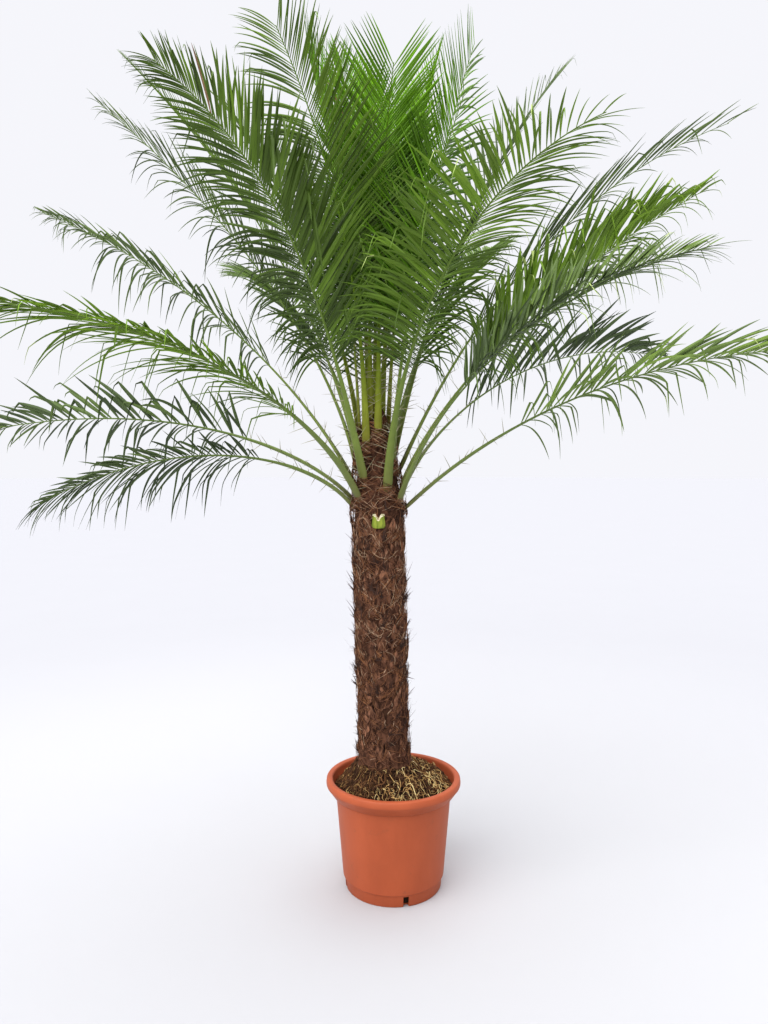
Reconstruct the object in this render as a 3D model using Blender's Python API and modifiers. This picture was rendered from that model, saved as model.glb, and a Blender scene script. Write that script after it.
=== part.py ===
"""A pygmy date palm in a nursery pot, at its real size, in metres with +Z up.

The origin is the middle of the pot's flat underside, and the palm leans a little to -X.
The pot, the root ball, the trunk, the stub of a cut leaf and each frond are objects of their own.
"""

import math
import random
from collections import namedtuple

import bmesh
import bpy
from mathutils import Matrix, Vector
from mathutils.bvhtree import BVHTree

GAP = 0.0003
UP = Vector((0.0, 0.0, 1.0))

# Pot: (radius, height) up its inner side, over the lip and the rolled band, and down its outer side
POT_FLOOR = 0.0045
POT_INSIDE = (
    (0.0925, POT_FLOOR),
    (0.0950, 0.0200),
    (0.0985, 0.0260),
    (0.1100, 0.1800),
    (0.1115, 0.1890),
    (0.1190, 0.1965),
    (0.1210, 0.2150),
)
POT_LIP = ((0.1250, 0.2205), (0.1305, 0.2210), (0.1340, 0.2185), (0.1350, 0.2120))
POT_BAND = ((0.1345, 0.2085), (0.1330, 0.2060), (0.1215, 0.1895), (0.1185, 0.1885))
POT_WALL = ((0.1150, 0.1840), (0.1015, 0.0240), (0.0980, 0.0220), (0.0960, 0.0))
POT_STEPS = 40
NOTCHES = 4
NOTCH_TURN = 14
NOTCH_WIDTH = 0.011
NOTCH_HEIGHT = 0.020
NOTCH_REACH = 0.030

# Root ball: it fills the pot and mounds up to a flat seat under the trunk
TRUNK_FOOT = 0.2360
SOIL_SEAT_RADIUS = 0.058
SOIL_MOUND = ((0.072, 0.2335), (0.090, 0.2230), (0.108, 0.2070), (0.1186, 0.1990))
SOIL_CLEARANCE = 0.0005
SOIL_STEPS = 32

# Trunk: a fibrous column up from the soil, then the narrowing shaft that carries the leaves
TRUNK_SIDES = 16
TRUNK_LEAN = ((TRUNK_FOOT, -0.019), (0.750, -0.030), (0.965, -0.038))
TRUNK_RADII = (
    (TRUNK_FOOT, 0.0560),
    (0.262, 0.0500),
    (0.300, 0.0465),
    (0.700, 0.0480),
    (0.760, 0.0450),
    (0.800, 0.0415),
    (0.880, 0.0320),
    (0.945, 0.0200),
    (0.965, 0.0120),
)
BARK_TOP = 0.744
BARK_ROWS = 19
OUTLINE_STEPS = 8
SHAFT_RINGS = (0.760, 0.800, 0.840, 0.880, 0.915, 0.945, 0.965)
PEG_EVERY = 4
PEG_STEP = 2
PEG_OUT = 0.0070
PEG_RISE = 0.0100
PEG_TAPER = 0.45

# Cut leaf low on the front of the crown
STUB_HEIGHT = 0.7250
STUB_LENGTH = 0.027
STUB_HALF_WIDTH = 0.0115
STUB_DEPTH = 0.0110
STUB_LIFT = 84
STUB_SECTIONS = ((0.0, 0.55), (0.4, 1.0), (1.0, 0.9))

# Rib of a frond: its share of the length, half its width and its depth
RIB_SHAPE = (
    (0.00, 0.0085, 0.0078),
    (0.10, 0.0055, 0.0062),
    (0.25, 0.0040, 0.0050),
    (1.00, 0.0014, 0.0017),
)
RIB_FLAT_SHARE = 0.35
PETIOLE_SHARE = 0.23
PETIOLE_JOINTS = (0.025, 0.07, 0.14)
KEEL_FOOT = 0.018
COURSE_STEPS = 80

# Leaflets, in pairs that lean forward more and more towards the tip of the frond
LEAFLET_PAIRS = 14
LEAFLET_ROOT = 0.0055
LEAFLET_LEAST = 0.140
LEAFLET_GROWTH = 0.040
LEAFLET_PROFILE = (0.16, 0.78, 0.6)
LEAFLET_BASE_ANGLE = 64
LEAFLET_TIP_ANGLE = 22
LEAFLET_RAISE = 28
LEAFLET_SAG = (0.12, 0.57)
LEAFLET_HALF_WIDTH = 0.0065
LEAFLET_HALF_THICKNESS = 0.0011
LEAFLET_TRIALS = ((1.0, 0), (1.0, 14), (1.0, -14), (0.75, 0), (0.75, 16), (0.55, 0))
LEAFLET_MARGIN = 1.35
LEAFLET_SWAY = 6
LEAFLET_STRETCH = (0.92, 1.06)

# Azimuth runs from +X towards +Y. The elevation falls from lift by arch, along share ** bend.
Frond = namedtuple("Frond", "azimuth height lift arch bend length roll")
OLD_FRONDS = (
    Frond(4, 0.758, 45, 45, 0.83, 0.96, 30),
    Frond(184, 0.762, 66, 95, 0.47, 0.65, -35),
    Frond(37, 0.766, 79, 81, 0.45, 1.00, 30),
    Frond(163, 0.769, 71, 80, 0.30, 0.98, -45),
    Frond(327, 0.772, 71, 65, 0.86, 0.73, -25),
    Frond(222, 0.776, 68, 74, 0.55, 0.88, -20),
)
GROWN_FRONDS = (
    Frond(96, 0.785, 74, 60, 0.90, 0.95, 0),
    Frond(295, 0.790, 88, 93, 0.86, 0.86, 0),
    Frond(157, 0.797, 69, 46, 0.50, 1.06, -28),
    Frond(355, 0.801, 71, 43, 0.61, 0.82, 25),
    Frond(122, 0.802, 74, 64, 0.80, 0.95, 0),
    Frond(62, 0.807, 74, 58, 0.90, 0.95, 0),
    Frond(236, 0.812, 70, 60, 1.92, 0.81, 0),
    Frond(16, 0.827, 66, 43, 1.08, 1.11, 22),
    Frond(172, 0.833, 88, 48, 0.44, 0.93, -22),
    Frond(318, 0.842, 85, 22, 1.30, 0.68, 0),
    Frond(36, 0.851, 75, 28, 1.10, 1.03, 0),
    Frond(196, 0.857, 78, 36, 0.90, 0.84, 0),
)
YOUNG_FRONDS = (
    Frond(78, 0.863, 82, 30, 1.00, 0.95, 0),
    Frond(140, 0.869, 80, 36, 1.00, 0.92, 0),
    Frond(239, 0.875, 88, 45, 1.26, 0.742, 0),
    Frond(339, 0.885, 85, 14, 0.90, 0.75, 0),
    Frond(112, 0.891, 86, 18, 1.30, 0.85, 0),
    Frond(279, 0.899, 88, 47, 2.30, 0.66, 0),
    Frond(183, 0.907, 87, 12, 1.50, 0.74, 0),
    Frond(30, 0.915, 87, 14, 1.50, 0.74, 0),
    Frond(90, 0.923, 88, 10, 1.50, 0.70, 0),
    Frond(250, 0.933, 89, 4, 1.50, 0.62, 0),
)

Station = namedtuple("Station", "share point tangent side up")
Leaflet = namedtuple("Leaflet", "root middle tip across normal")


def clear_scene():
    """Remove what the scene holds."""
    for old in list(bpy.data.objects):
        bpy.data.objects.remove(old)


def make_material(name, colour, roughness):
    """A plain Principled finish with one base colour."""
    made = bpy.data.materials.new(name)
    made.use_nodes = True
    shader = made.node_tree.nodes["Principled BSDF"]
    shader.inputs["Base Color"].default_value = (*colour, 1.0)
    shader.inputs["Roughness"].default_value = roughness
    shader.inputs["Metallic"].default_value = 0.0
    return made


def make_collection(name):
    """A collection linked to the scene."""
    made = bpy.data.collections.new(name)
    bpy.context.scene.collection.children.link(made)
    return made


def add_object(name, mesh, collection, finish=None):
    """Put a mesh in the collection as an object with its finish."""
    made = bpy.data.objects.new(name, mesh)
    collection.objects.link(made)
    if finish:
        mesh.materials.append(finish)
    return made


def add_bmesh(name, bm, collection, finish=None):
    """Turn a closed bmesh into an object whose faces point out."""
    bmesh.ops.recalc_face_normals(bm, faces=bm.faces)
    mesh = bpy.data.meshes.new(name)
    bm.to_mesh(mesh)
    bm.free()
    return add_object(name, mesh, collection, finish)


def read_table(table, at, column=1):
    """The value in a column of a table, read at a place between its rows."""
    for low, high in zip(table, table[1:]):
        if at <= high[0]:
            share = max(0.0, (at - low[0]) / (high[0] - low[0]))
            return low[column] + (high[column] - low[column]) * share
    return table[-1][column]


def build_turned(name, profile, steps, collection, finish):
    """Turn a profile about Z, with its outer side listed from the top down."""
    mesh = bpy.data.meshes.new(name)
    points = [(radius, 0.0, height) for radius, height in profile]
    mesh.from_pydata(points, [(i, i + 1) for i in range(len(points) - 1)], [])
    made = add_object(name, mesh, collection, finish)
    screw = made.modifiers.new("Turn", "SCREW")
    screw.steps = steps
    screw.render_steps = steps
    screw.use_smooth_shade = True
    screw.use_merge_vertices = True
    screw.merge_threshold = 0.0001
    return made


def build_pot(collection, cutters, finish):
    """The pot, with a band round its lip and drain notches through its foot."""
    profile = ((0.0, POT_FLOOR),) + POT_INSIDE + POT_LIP + POT_BAND + POT_WALL + ((0.0, 0.0),)
    pot = build_turned("pot", profile, POT_STEPS, collection, finish)
    foot_radius = POT_WALL[-1][0]
    bm = bmesh.new()
    for index in range(NOTCHES):
        turn = Matrix.Rotation(math.radians(NOTCH_TURN + 360 * index / NOTCHES), 3, "Z")
        block = bmesh.ops.create_cube(bm, size=1.0)["verts"]
        bmesh.ops.scale(bm, vec=(NOTCH_REACH, NOTCH_WIDTH, 2 * NOTCH_HEIGHT), verts=block)
        bmesh.ops.translate(bm, vec=(foot_radius + NOTCH_REACH / 4, 0, 0), verts=block)
        bmesh.ops.rotate(bm, cent=(0, 0, 0), matrix=turn, verts=block)
    cutter = add_bmesh("notch_cutter", bm, cutters)
    cutter.hide_render = True
    cutter.display_type = "WIRE"
    cut = pot.modifiers.new("Notches", "BOOLEAN")
    cut.operation = "DIFFERENCE"
    cut.object = cutter
    return pot


def build_root_ball(collection, finish):
    """The root ball: a mound with a flat seat, and sides that follow the inside of the pot."""
    seat = TRUNK_FOOT - GAP
    sides = [(radius - SOIL_CLEARANCE, height) for radius, height in reversed(POT_INSIDE[1:-1])]
    foot = (POT_INSIDE[0][0] - SOIL_CLEARANCE, POT_FLOOR + GAP)
    profile = [(0.0, seat), (SOIL_SEAT_RADIUS, seat), *SOIL_MOUND, *sides, foot, (0.0, foot[1])]
    return build_turned("root_ball", profile, SOIL_STEPS, collection, finish)


def trunk_centre(height):
    """The middle of the leaning trunk at a height."""
    return Vector((read_table(TRUNK_LEAN, height), 0.0, height))


def ring_points(height):
    """The corners of the trunk's outline at a height."""
    radius = read_table(TRUNK_RADII, height)
    centre = trunk_centre(height)
    turns = [2 * math.pi * i / TRUNK_SIDES for i in range(TRUNK_SIDES)]
    return [centre + Vector((math.cos(a), math.sin(a), 0.0)) * radius for a in turns]


def extrude_face(bm, face, places):
    """Draw a face out to new places for its corners, and give the face at the end."""
    end = bmesh.ops.extrude_discrete_faces(bm, faces=[face])["faces"][0]
    for corner, place in zip(end.verts, places):
        corner.co = place
    return end


def add_pegs(bm, row, faces):
    """Draw every fourth face of a row out and up into the pointed base of an old leaf."""
    for column, face in enumerate(faces):
        if (column + PEG_STEP * row + row // 3) % PEG_EVERY:
            continue
        middle = face.calc_center_median()
        outward = (middle - trunk_centre(middle.z)).normalized()
        end = middle + outward * PEG_OUT + UP * PEG_RISE
        extrude_face(bm, face, [end + (v.co - middle) * PEG_TAPER for v in face.verts])


def build_trunk(collection, finish):
    """The trunk from its flat foot to its tip, with old leaf bases on its bark."""
    rise = (BARK_TOP - TRUNK_FOOT) / BARK_ROWS
    heights = [TRUNK_FOOT + rise * i for i in range(BARK_ROWS + 1)] + list(SHAFT_RINGS)
    bm = bmesh.new()
    foot = [bm.verts.new(p) for p in ring_points(heights[0])]
    face = bm.faces.new(foot)
    rows = []
    for height in heights[1:]:
        before = set(bm.faces)
        face = extrude_face(bm, face, ring_points(height))
        rows.append([f for f in bm.faces if f not in before and f is not face])
    bm.faces.new(foot)
    for row, faces in enumerate(rows[1 : BARK_ROWS - 1]):
        add_pegs(bm, row, faces)
    return add_bmesh("trunk", bm, collection, finish)


def trunk_reach(azimuth, height, half_width):
    """How far the trunk's outline reaches towards an azimuth, within half a leaf base to each side."""
    out = Vector((math.cos(azimuth), math.sin(azimuth), 0.0))
    across = Vector((-out.y, out.x, 0.0))
    centre = trunk_centre(height)
    corners = [p - centre for p in ring_points(height)]
    reach = 0.0
    for first, second in zip(corners, corners[1:] + corners[:1]):
        for step in range(OUTLINE_STEPS + 1):
            spot = first.lerp(second, step / OUTLINE_STEPS)
            if abs(spot.dot(across)) <= half_width:
                reach = max(reach, spot.dot(out))
    return reach


def rib_corners(station, half_width, depth):
    """The flat upper side's two corners and the keel of a rib at a station of its course."""
    flat = station.point + station.up * depth * RIB_FLAT_SHARE
    keel = station.point - station.up * depth * (1 - RIB_FLAT_SHARE)
    return [flat + station.side * half_width, flat - station.side * half_width, keel]


def draw_rib(bm, sections):
    """Draw a three-sided rib through its sections, closed at both ends."""
    foot = [bm.verts.new(p) for p in sections[0]]
    face = bm.faces.new(foot)
    for section in sections[1:]:
        face = extrude_face(bm, face, section)
    bm.faces.new(foot)


def frond_course(frond):
    """The stations of a frond from its foot, flat side against the trunk, to its tip."""
    azimuth = math.radians(frond.azimuth)
    out = Vector((math.cos(azimuth), math.sin(azimuth), 0.0))
    side = Vector((-out.y, out.x, 0.0))
    _, half_width, depth = RIB_SHAPE[0]
    stations = []
    point = None
    step = frond.length / COURSE_STEPS
    for index in range(COURSE_STEPS + 1):
        share = index / COURSE_STEPS
        elevation = math.radians(frond.lift - frond.arch * share**frond.bend)
        tangent = out * math.cos(elevation) + UP * math.sin(elevation)
        up = tangent.cross(side)
        if point is None:
            reach = trunk_reach(azimuth, frond.height, half_width) + GAP
            point = trunk_centre(frond.height) + out * reach - up * depth * RIB_FLAT_SHARE
        else:
            point = point + (tangent + stations[-1].tangent) * (step / 2)
        turn = Matrix.Rotation(-math.radians(frond.roll) * min(1.0, share / PETIOLE_SHARE), 3, tangent)
        stations.append(Station(share, point, tangent, turn @ side, turn @ up))
    return stations


def station_at(course, share):
    """The station at a share of the frond's length, between two of the course."""
    place = min(max(share, 0.0), 1.0) * COURSE_STEPS
    index = min(int(place), COURSE_STEPS - 1)
    low, high = course[index], course[index + 1]
    mixed = [a.lerp(b, place - index) for a, b in zip(low[1:], high[1:])]
    return Station(share, *mixed)


def rib_section(course, share):
    """The corners of a frond's rib at a share of its length."""
    return rib_corners(station_at(course, share), read_table(RIB_SHAPE, share), read_table(RIB_SHAPE, share, 2))


def foot_section(course):
    """The first section of a rib, its keel drawn down along the trunk as a leaf base is."""
    corners = rib_corners(course[0], *RIB_SHAPE[0][1:])
    tangent = course[0].tangent
    out = Vector((tangent.x, tangent.y, 0.0)).normalized()
    behind = (corners[2] - corners[0]).dot(out)
    keel = corners[2] - tangent * min(behind / tangent.dot(out), KEEL_FOOT)
    reach = trunk_reach(math.atan2(out.y, out.x), keel.z, RIB_SHAPE[0][1]) + GAP
    corners[2] = keel + out * max(0.0, reach - (keel - trunk_centre(keel.z)).dot(out))
    return corners


def leaflet_shares():
    """Where the pairs of leaflets stand along a frond."""
    return [PETIOLE_SHARE + (1 - PETIOLE_SHARE) * (i + 0.5) / LEAFLET_PAIRS for i in range(LEAFLET_PAIRS)]


def leaflet_length(frond, share):
    """The length of a leaflet: longest halfway up the blade."""
    blade = (share - PETIOLE_SHARE) / (1 - PETIOLE_SHARE)
    start, span, power = LEAFLET_PROFILE
    return (LEAFLET_LEAST + LEAFLET_GROWTH * frond.length) * math.sin(math.pi * (start + span * blade)) ** power


def shape_leaflet(frond, course, share, hand, stretch, raised):
    """Work out one leaflet, which leans forward, stands up from the blade and sags at its tip."""
    at = station_at(course, share)
    blade = (share - PETIOLE_SHARE) / (1 - PETIOLE_SHARE)
    lean = math.radians(LEAFLET_BASE_ANGLE + (LEAFLET_TIP_ANGLE - LEAFLET_BASE_ANGLE) * blade)
    rise = math.radians(LEAFLET_RAISE + raised)
    sideways = at.side * hand * math.cos(rise) + at.up * math.sin(rise)
    heading = at.tangent * math.cos(lean) + sideways * math.sin(lean)
    half = leaflet_length(frond, share) * stretch / 2
    middle = at.point + (heading - UP * LEAFLET_SAG[0]).normalized() * half
    tip = middle + (heading - UP * LEAFLET_SAG[1]).normalized() * half
    normal = (at.up - heading * at.up.dot(heading)).normalized()
    across = heading.cross(normal).normalized()
    if across.dot(at.tangent) < 0:
        across.negate()
    return Leaflet(at, middle, tip, across, normal)


def leaflet_tree(leaflet):
    """A slightly swollen copy of a leaflet, to find what it would touch."""
    width = leaflet.across * LEAFLET_HALF_WIDTH * LEAFLET_MARGIN
    thickness = leaflet.normal * LEAFLET_HALF_THICKNESS * LEAFLET_MARGIN
    ring = []
    for centre in (leaflet.root.point, leaflet.middle):
        ring += [centre + width + thickness, centre - width + thickness]
        ring += [centre - width - thickness, centre + width - thickness]
    faces = [(i, (i + 1) % 4, (i + 1) % 4 + 4, i + 4) for i in range(4)]
    faces += [(4 + i, 4 + (i + 1) % 4, 8) for i in range(4)]
    return BVHTree.FromPolygons(ring + [leaflet.tip], faces)


def fit_leaflet(frond, course, share, hand, others, chance):
    """The first form of a leaflet that touches nothing, or None."""
    sway = chance.uniform(-LEAFLET_SWAY, LEAFLET_SWAY)
    stretch = chance.uniform(*LEAFLET_STRETCH)
    for length, raised in LEAFLET_TRIALS:
        leaflet = shape_leaflet(frond, course, share, hand, length * stretch, raised + sway)
        tree = leaflet_tree(leaflet)
        if not any(tree.overlap(other) for other in others):
            return leaflet
    return None


def draw_leaflet(bm, leaflet, hand):
    """Draw a leaflet out of the rib's side face at its root, to a flat middle and a pointed tip."""
    at = leaflet.root
    spot = at.point + at.side * hand * read_table(RIB_SHAPE, at.share) / 2
    face = min(bm.faces, key=lambda f: (f.calc_center_median() - spot).length)
    centre = face.calc_center_median()
    places = []
    for corner in face.verts:
        forward = math.copysign(LEAFLET_HALF_WIDTH, (corner.co - centre).dot(at.tangent))
        upward = math.copysign(LEAFLET_HALF_THICKNESS, (corner.co - centre).dot(at.up))
        places.append(leaflet.middle + leaflet.across * forward + leaflet.normal * upward)
    face = extrude_face(bm, face, places)
    face = extrude_face(bm, face, [leaflet.tip] * len(places))
    bmesh.ops.pointmerge(bm, verts=list(face.verts), merge_co=leaflet.tip)


def rib_mesh(frond, course):
    """The bare rib of a frond, with a short root for each pair of leaflets."""
    root = LEAFLET_ROOT / frond.length
    shares = list(PETIOLE_JOINTS)
    for share in leaflet_shares():
        shares += [share - root, share + root]
    shares.append(1.0)
    bm = bmesh.new()
    draw_rib(bm, [foot_section(course)] + [rib_section(course, share) for share in shares])
    return bm


def build_fronds(trunk, collection, finishes):
    """Every frond, whose leaflets keep clear of the trunk, the ribs and the fronds before it."""
    chance = random.Random(7)
    fronds = [(frond, finish) for group, finish in finishes for frond in group]
    courses = [frond_course(frond) for frond, _ in fronds]
    ribs = [rib_mesh(frond, course) for (frond, _), course in zip(fronds, courses)]
    rib_trees = [BVHTree.FromBMesh(bm) for bm in ribs]
    depsgraph = bpy.context.evaluated_depsgraph_get()
    done = [BVHTree.FromObject(trunk, depsgraph)]
    for index, ((frond, finish), course, bm) in enumerate(zip(fronds, courses, ribs)):
        others = done + [tree for i, tree in enumerate(rib_trees) if i != index]
        for share in leaflet_shares():
            for hand in (1, -1):
                leaflet = fit_leaflet(frond, course, share, hand, others, chance)
                if leaflet:
                    draw_leaflet(bm, leaflet, hand)
        done.append(BVHTree.FromBMesh(bm))
        add_bmesh(f"frond_{index + 1:02d}", bm, collection, finish)


def build_stub(collection, finish):
    """The stub of a leaf that was cut off, on the front of the trunk."""
    out = Vector((0.0, -1.0, 0.0))
    side = Vector((1.0, 0.0, 0.0))
    lift = math.radians(STUB_LIFT)
    tangent = out * math.cos(lift) + UP * math.sin(lift)
    up = tangent.cross(side)
    reach = trunk_reach(math.radians(270), STUB_HEIGHT, STUB_HALF_WIDTH) + GAP
    foot = trunk_centre(STUB_HEIGHT) + out * reach - up * STUB_DEPTH * RIB_FLAT_SHARE
    sections = []
    for along, swell in STUB_SECTIONS:
        station = Station(along, foot + tangent * along * STUB_LENGTH, tangent, side, up)
        sections.append(rib_corners(station, STUB_HALF_WIDTH * swell, STUB_DEPTH))
    bm = bmesh.new()
    draw_rib(bm, sections)
    return add_bmesh("petiole_stub", bm, collection, finish)


def main():
    """Build the potted palm."""
    clear_scene()
    collection = make_collection("pygmy_date_palm")
    cutters = make_collection("cutters")
    build_pot(collection, cutters, make_material("pot_plastic", (0.50, 0.115, 0.050), 0.55))
    build_root_ball(collection, make_material("root_ball_soil", (0.075, 0.045, 0.028), 0.95))
    trunk = build_trunk(collection, make_material("trunk_fibre", (0.110, 0.048, 0.028), 0.90))
    build_stub(collection, make_material("stub_green", (0.42, 0.50, 0.12), 0.60))
    finishes = (
        (OLD_FRONDS, make_material("frond_old", (0.050, 0.120, 0.030), 0.50)),
        (GROWN_FRONDS, make_material("frond_grown", (0.075, 0.170, 0.022), 0.48)),
        (YOUNG_FRONDS, make_material("frond_young", (0.130, 0.280, 0.018), 0.45)),
    )
    bpy.context.view_layer.update()
    build_fronds(trunk, collection, finishes)


main()
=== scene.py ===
"""The looks of a pygmy date palm in a nursery pot.

Lengths are in metres with +Z up, and the front of the plant faces -Y. The pot, the root ball, the trunk,
the stub of a cut leaf and each frond of the crown are remade here as fine surfaces, at the places and sizes
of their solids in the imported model.
"""

import itertools
import logging
import math
from collections.abc import Iterable, Iterator, Mapping, Sequence
from dataclasses import astuple, dataclass, field, fields
from enum import Enum

import bmesh
import bpy
import numpy as np
from mathutils import Matrix, Vector, noise
from mathutils.bvhtree import BVHTree

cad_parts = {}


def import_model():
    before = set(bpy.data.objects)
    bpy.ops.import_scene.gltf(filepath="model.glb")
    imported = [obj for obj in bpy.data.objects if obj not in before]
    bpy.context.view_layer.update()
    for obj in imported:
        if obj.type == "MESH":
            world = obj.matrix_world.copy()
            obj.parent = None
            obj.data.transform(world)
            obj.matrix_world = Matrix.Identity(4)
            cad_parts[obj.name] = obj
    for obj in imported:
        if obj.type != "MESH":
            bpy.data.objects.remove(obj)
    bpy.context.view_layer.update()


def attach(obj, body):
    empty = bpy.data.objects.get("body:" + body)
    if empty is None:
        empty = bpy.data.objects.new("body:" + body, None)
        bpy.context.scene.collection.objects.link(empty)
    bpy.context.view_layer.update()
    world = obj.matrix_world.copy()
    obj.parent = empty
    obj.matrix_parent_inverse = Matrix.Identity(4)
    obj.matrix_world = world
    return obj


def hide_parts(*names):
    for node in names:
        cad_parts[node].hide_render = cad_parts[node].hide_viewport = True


log = logging.getLogger("pygmy_date_palm")

Array = np.ndarray
Chance = np.random.Generator
Colour = tuple[float, float, float]
Span = tuple[float, float]
Table = tuple[Span, ...]

UP = np.array((0.0, 0.0, 1.0))
FULL_TURN = 2 * math.pi


def unit(vectors: Array) -> Array:
    """Scale vectors to length one along their last axis."""
    return vectors / np.maximum(np.linalg.norm(vectors, axis=-1, keepdims=True), 1e-9)


def read_table(table: Table, at: Array | float) -> Array:
    """Read the second column of a table at places along its first."""
    return np.interp(at, *np.array(table).T)


def add_object(name: str, data: bpy.types.ID) -> bpy.types.Object:
    """Put a new object with its data in the scene."""
    made = bpy.data.objects.new(name, data)
    bpy.context.scene.collection.objects.link(made)
    return made


def add_piece(mesh: bpy.types.Mesh, nodes: Iterable[str], slot: str, *materials: bpy.types.Material) -> None:
    """Put a finished mesh in the scene as a piece that stands for CAD nodes.

    Args:
        mesh: The mesh, in place, whose name the piece takes.
        nodes: The nodes that it replaces, or helps to replace.
        slot: The record's material slot that its finish belongs to; not used.
        materials: Its materials, by index.
    """
    for material in materials:
        mesh.materials.append(material)
    piece = add_object(mesh.name, mesh)
    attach(piece, "root")
    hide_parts(*nodes)
    log.info("%s: %d faces", mesh.name, len(mesh.polygons))


def soften(mesh: bpy.types.Mesh, angle: float) -> bpy.types.Mesh:
    """Shade a mesh smooth, but for its edges past an angle in degrees."""
    mesh.shade_smooth()
    mesh.set_sharp_from_angle(angle=math.radians(angle))
    return mesh


def mesh_from_bmesh(name: str, bm: bmesh.types.BMesh, angle: float = 40.0) -> bpy.types.Mesh:
    """Turn a bmesh, which is freed, into a mesh that is smooth up to an angle in degrees."""
    bmesh.ops.recalc_face_normals(bm, faces=bm.faces)
    mesh = bpy.data.meshes.new(name)
    bm.to_mesh(mesh)
    bm.free()
    return soften(mesh, angle)


def turned(profile: Iterable[tuple[float, float]], steps: int) -> bmesh.types.BMesh:
    """Turn a profile of radii and heights about the upright axis."""
    bm = bmesh.new()
    verts = [bm.verts.new((radius, 0.0, height)) for radius, height in profile]
    edges = [bm.edges.new(pair) for pair in zip(verts, verts[1:])]
    bmesh.ops.spin(
        bm, geom=verts + edges, cent=(0, 0, 0), axis=(0, 0, 1), angle=FULL_TURN, steps=steps, use_merge=True
    )
    bmesh.ops.remove_doubles(bm, verts=bm.verts, dist=0.00002)
    return bm


def side_faces(index: Array) -> list[list[int]]:
    """List the faces between rings of points, numbered by ring and corner on the last two axes."""
    after = np.roll(index, -1, axis=-1)
    sides = (index[..., :-1, :], after[..., :-1, :], after[..., 1:, :], index[..., 1:, :])
    return np.stack(sides, axis=-1).reshape(-1, 4).tolist()


def mesh_from_stacks(
    name: str, stacks: Sequence[Array], angle: float = 40.0, along: Sequence[Array] = ()
) -> bpy.types.Mesh:
    """Join many small lofted shapes, each a stack of rings, into one mesh.

    Args:
        name: The mesh's name.
        stacks: Arrays of points by item, ring, corner and axis.
        angle: The angle in degrees past which an edge stays sharp.
        along: For each array, one value by item and ring, kept as the attribute "along".

    Returns:
        The mesh, whose shapes are closed at both ends.
    """
    points, faces, start = [], [], 0
    for stack in stacks:
        index = start + np.arange(stack.size // 3).reshape(stack.shape[:3])
        faces += side_faces(index) + index[:, 0, ::-1].tolist() + index[:, -1].tolist()
        points.append(stack.reshape(-1, 3))
        start += index.size
    mesh = bpy.data.meshes.new(name)
    mesh.from_pydata(np.concatenate(points).tolist(), [], faces)
    if along:
        values = [np.repeat(v, s.shape[2], axis=-1).ravel() for v, s in zip(along, stacks)]
        mesh.attributes.new("along", "FLOAT", "POINT").data.foreach_set("value", np.concatenate(values))
    return soften(mesh, angle)


def tree_of(stack: Array) -> BVHTree:
    """Make a search tree of the sides of a lofted shape."""
    index = np.arange(stack.size // 3).reshape(stack.shape[:3])
    return BVHTree.FromPolygons(stack.reshape(-1, 3).tolist(), side_faces(index))


def strand_rings(lines: Array, thick: Array, taper: Array, corners: int = 3) -> Array:
    """Wrap round threads about many lines.

    Args:
        lines: Points by item, ring and axis.
        thick: The radius of each item at its thickest.
        taper: The share of that radius at each ring.
        corners: How many corners a thread has around it.

    Returns:
        Points by item, ring, corner and axis.
    """
    ahead = unit(np.gradient(lines, axis=1))
    guide = np.where(np.abs(ahead[:, :1, 2:]) > 0.8, np.array((1.0, 0.0, 0.0)), UP)
    first = unit(np.cross(ahead, np.broadcast_to(guide, ahead.shape)))
    second = np.cross(ahead, first)
    turns = (np.arange(corners) * FULL_TURN / corners)[:, None]
    ring = first[:, :, None] * np.cos(turns) + second[:, :, None] * np.sin(turns)
    return lines[:, :, None] + ring * (thick[:, None] * taper)[..., None, None]


class Socket(Enum):
    """The kinds of socket on a shader node group."""

    COLOUR = "NodeSocketColor"
    NUMBER = "NodeSocketFloat"


class Wiring:
    """The shader nodes of a material or a group."""

    def __init__(self, tree: bpy.types.NodeTree) -> None:
        """Wire nodes in a tree."""
        self.tree = tree

    def feed(self, node: bpy.types.Node, feeds: Mapping[str | int, object]) -> None:
        """Give each named input of a node its value, or link it to the socket that feeds it."""
        for name, value in feeds.items():
            if isinstance(value, bpy.types.NodeSocket):
                self.tree.links.new(value, node.inputs[name])
            else:
                node.inputs[name].default_value = value

    def node(
        self, kind: str, gives: str, feeds: Mapping[str | int, object] | None = None, **settings: object
    ) -> bpy.types.NodeSocket:
        """Add a node.

        Args:
            kind: Its type, without the word ShaderNode.
            gives: The output that is wanted of it.
            feeds: What its inputs get.
            settings: Its settings, which come first because they choose its sockets.

        Returns:
            That output.
        """
        made = self.tree.nodes.new(f"ShaderNode{kind}")
        for name, value in settings.items():
            setattr(made, name, value)
        self.feed(made, feeds or {})
        return made.outputs[gives]

    def math(self, operation: str, first: object, second: object, **settings: object) -> bpy.types.NodeSocket:
        """Reckon with two values."""
        return self.node("Math", "Value", {0: first, 1: second}, operation=operation, **settings)

    def blend(self, share: object, first: object, second: object, **settings: object) -> bpy.types.NodeSocket:
        """Mix two colours by the share of the second."""
        feeds = {"Factor": share, "A": first, "B": second}
        return self.node("Mix", "Result", feeds, data_type="RGBA", **settings)


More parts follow.
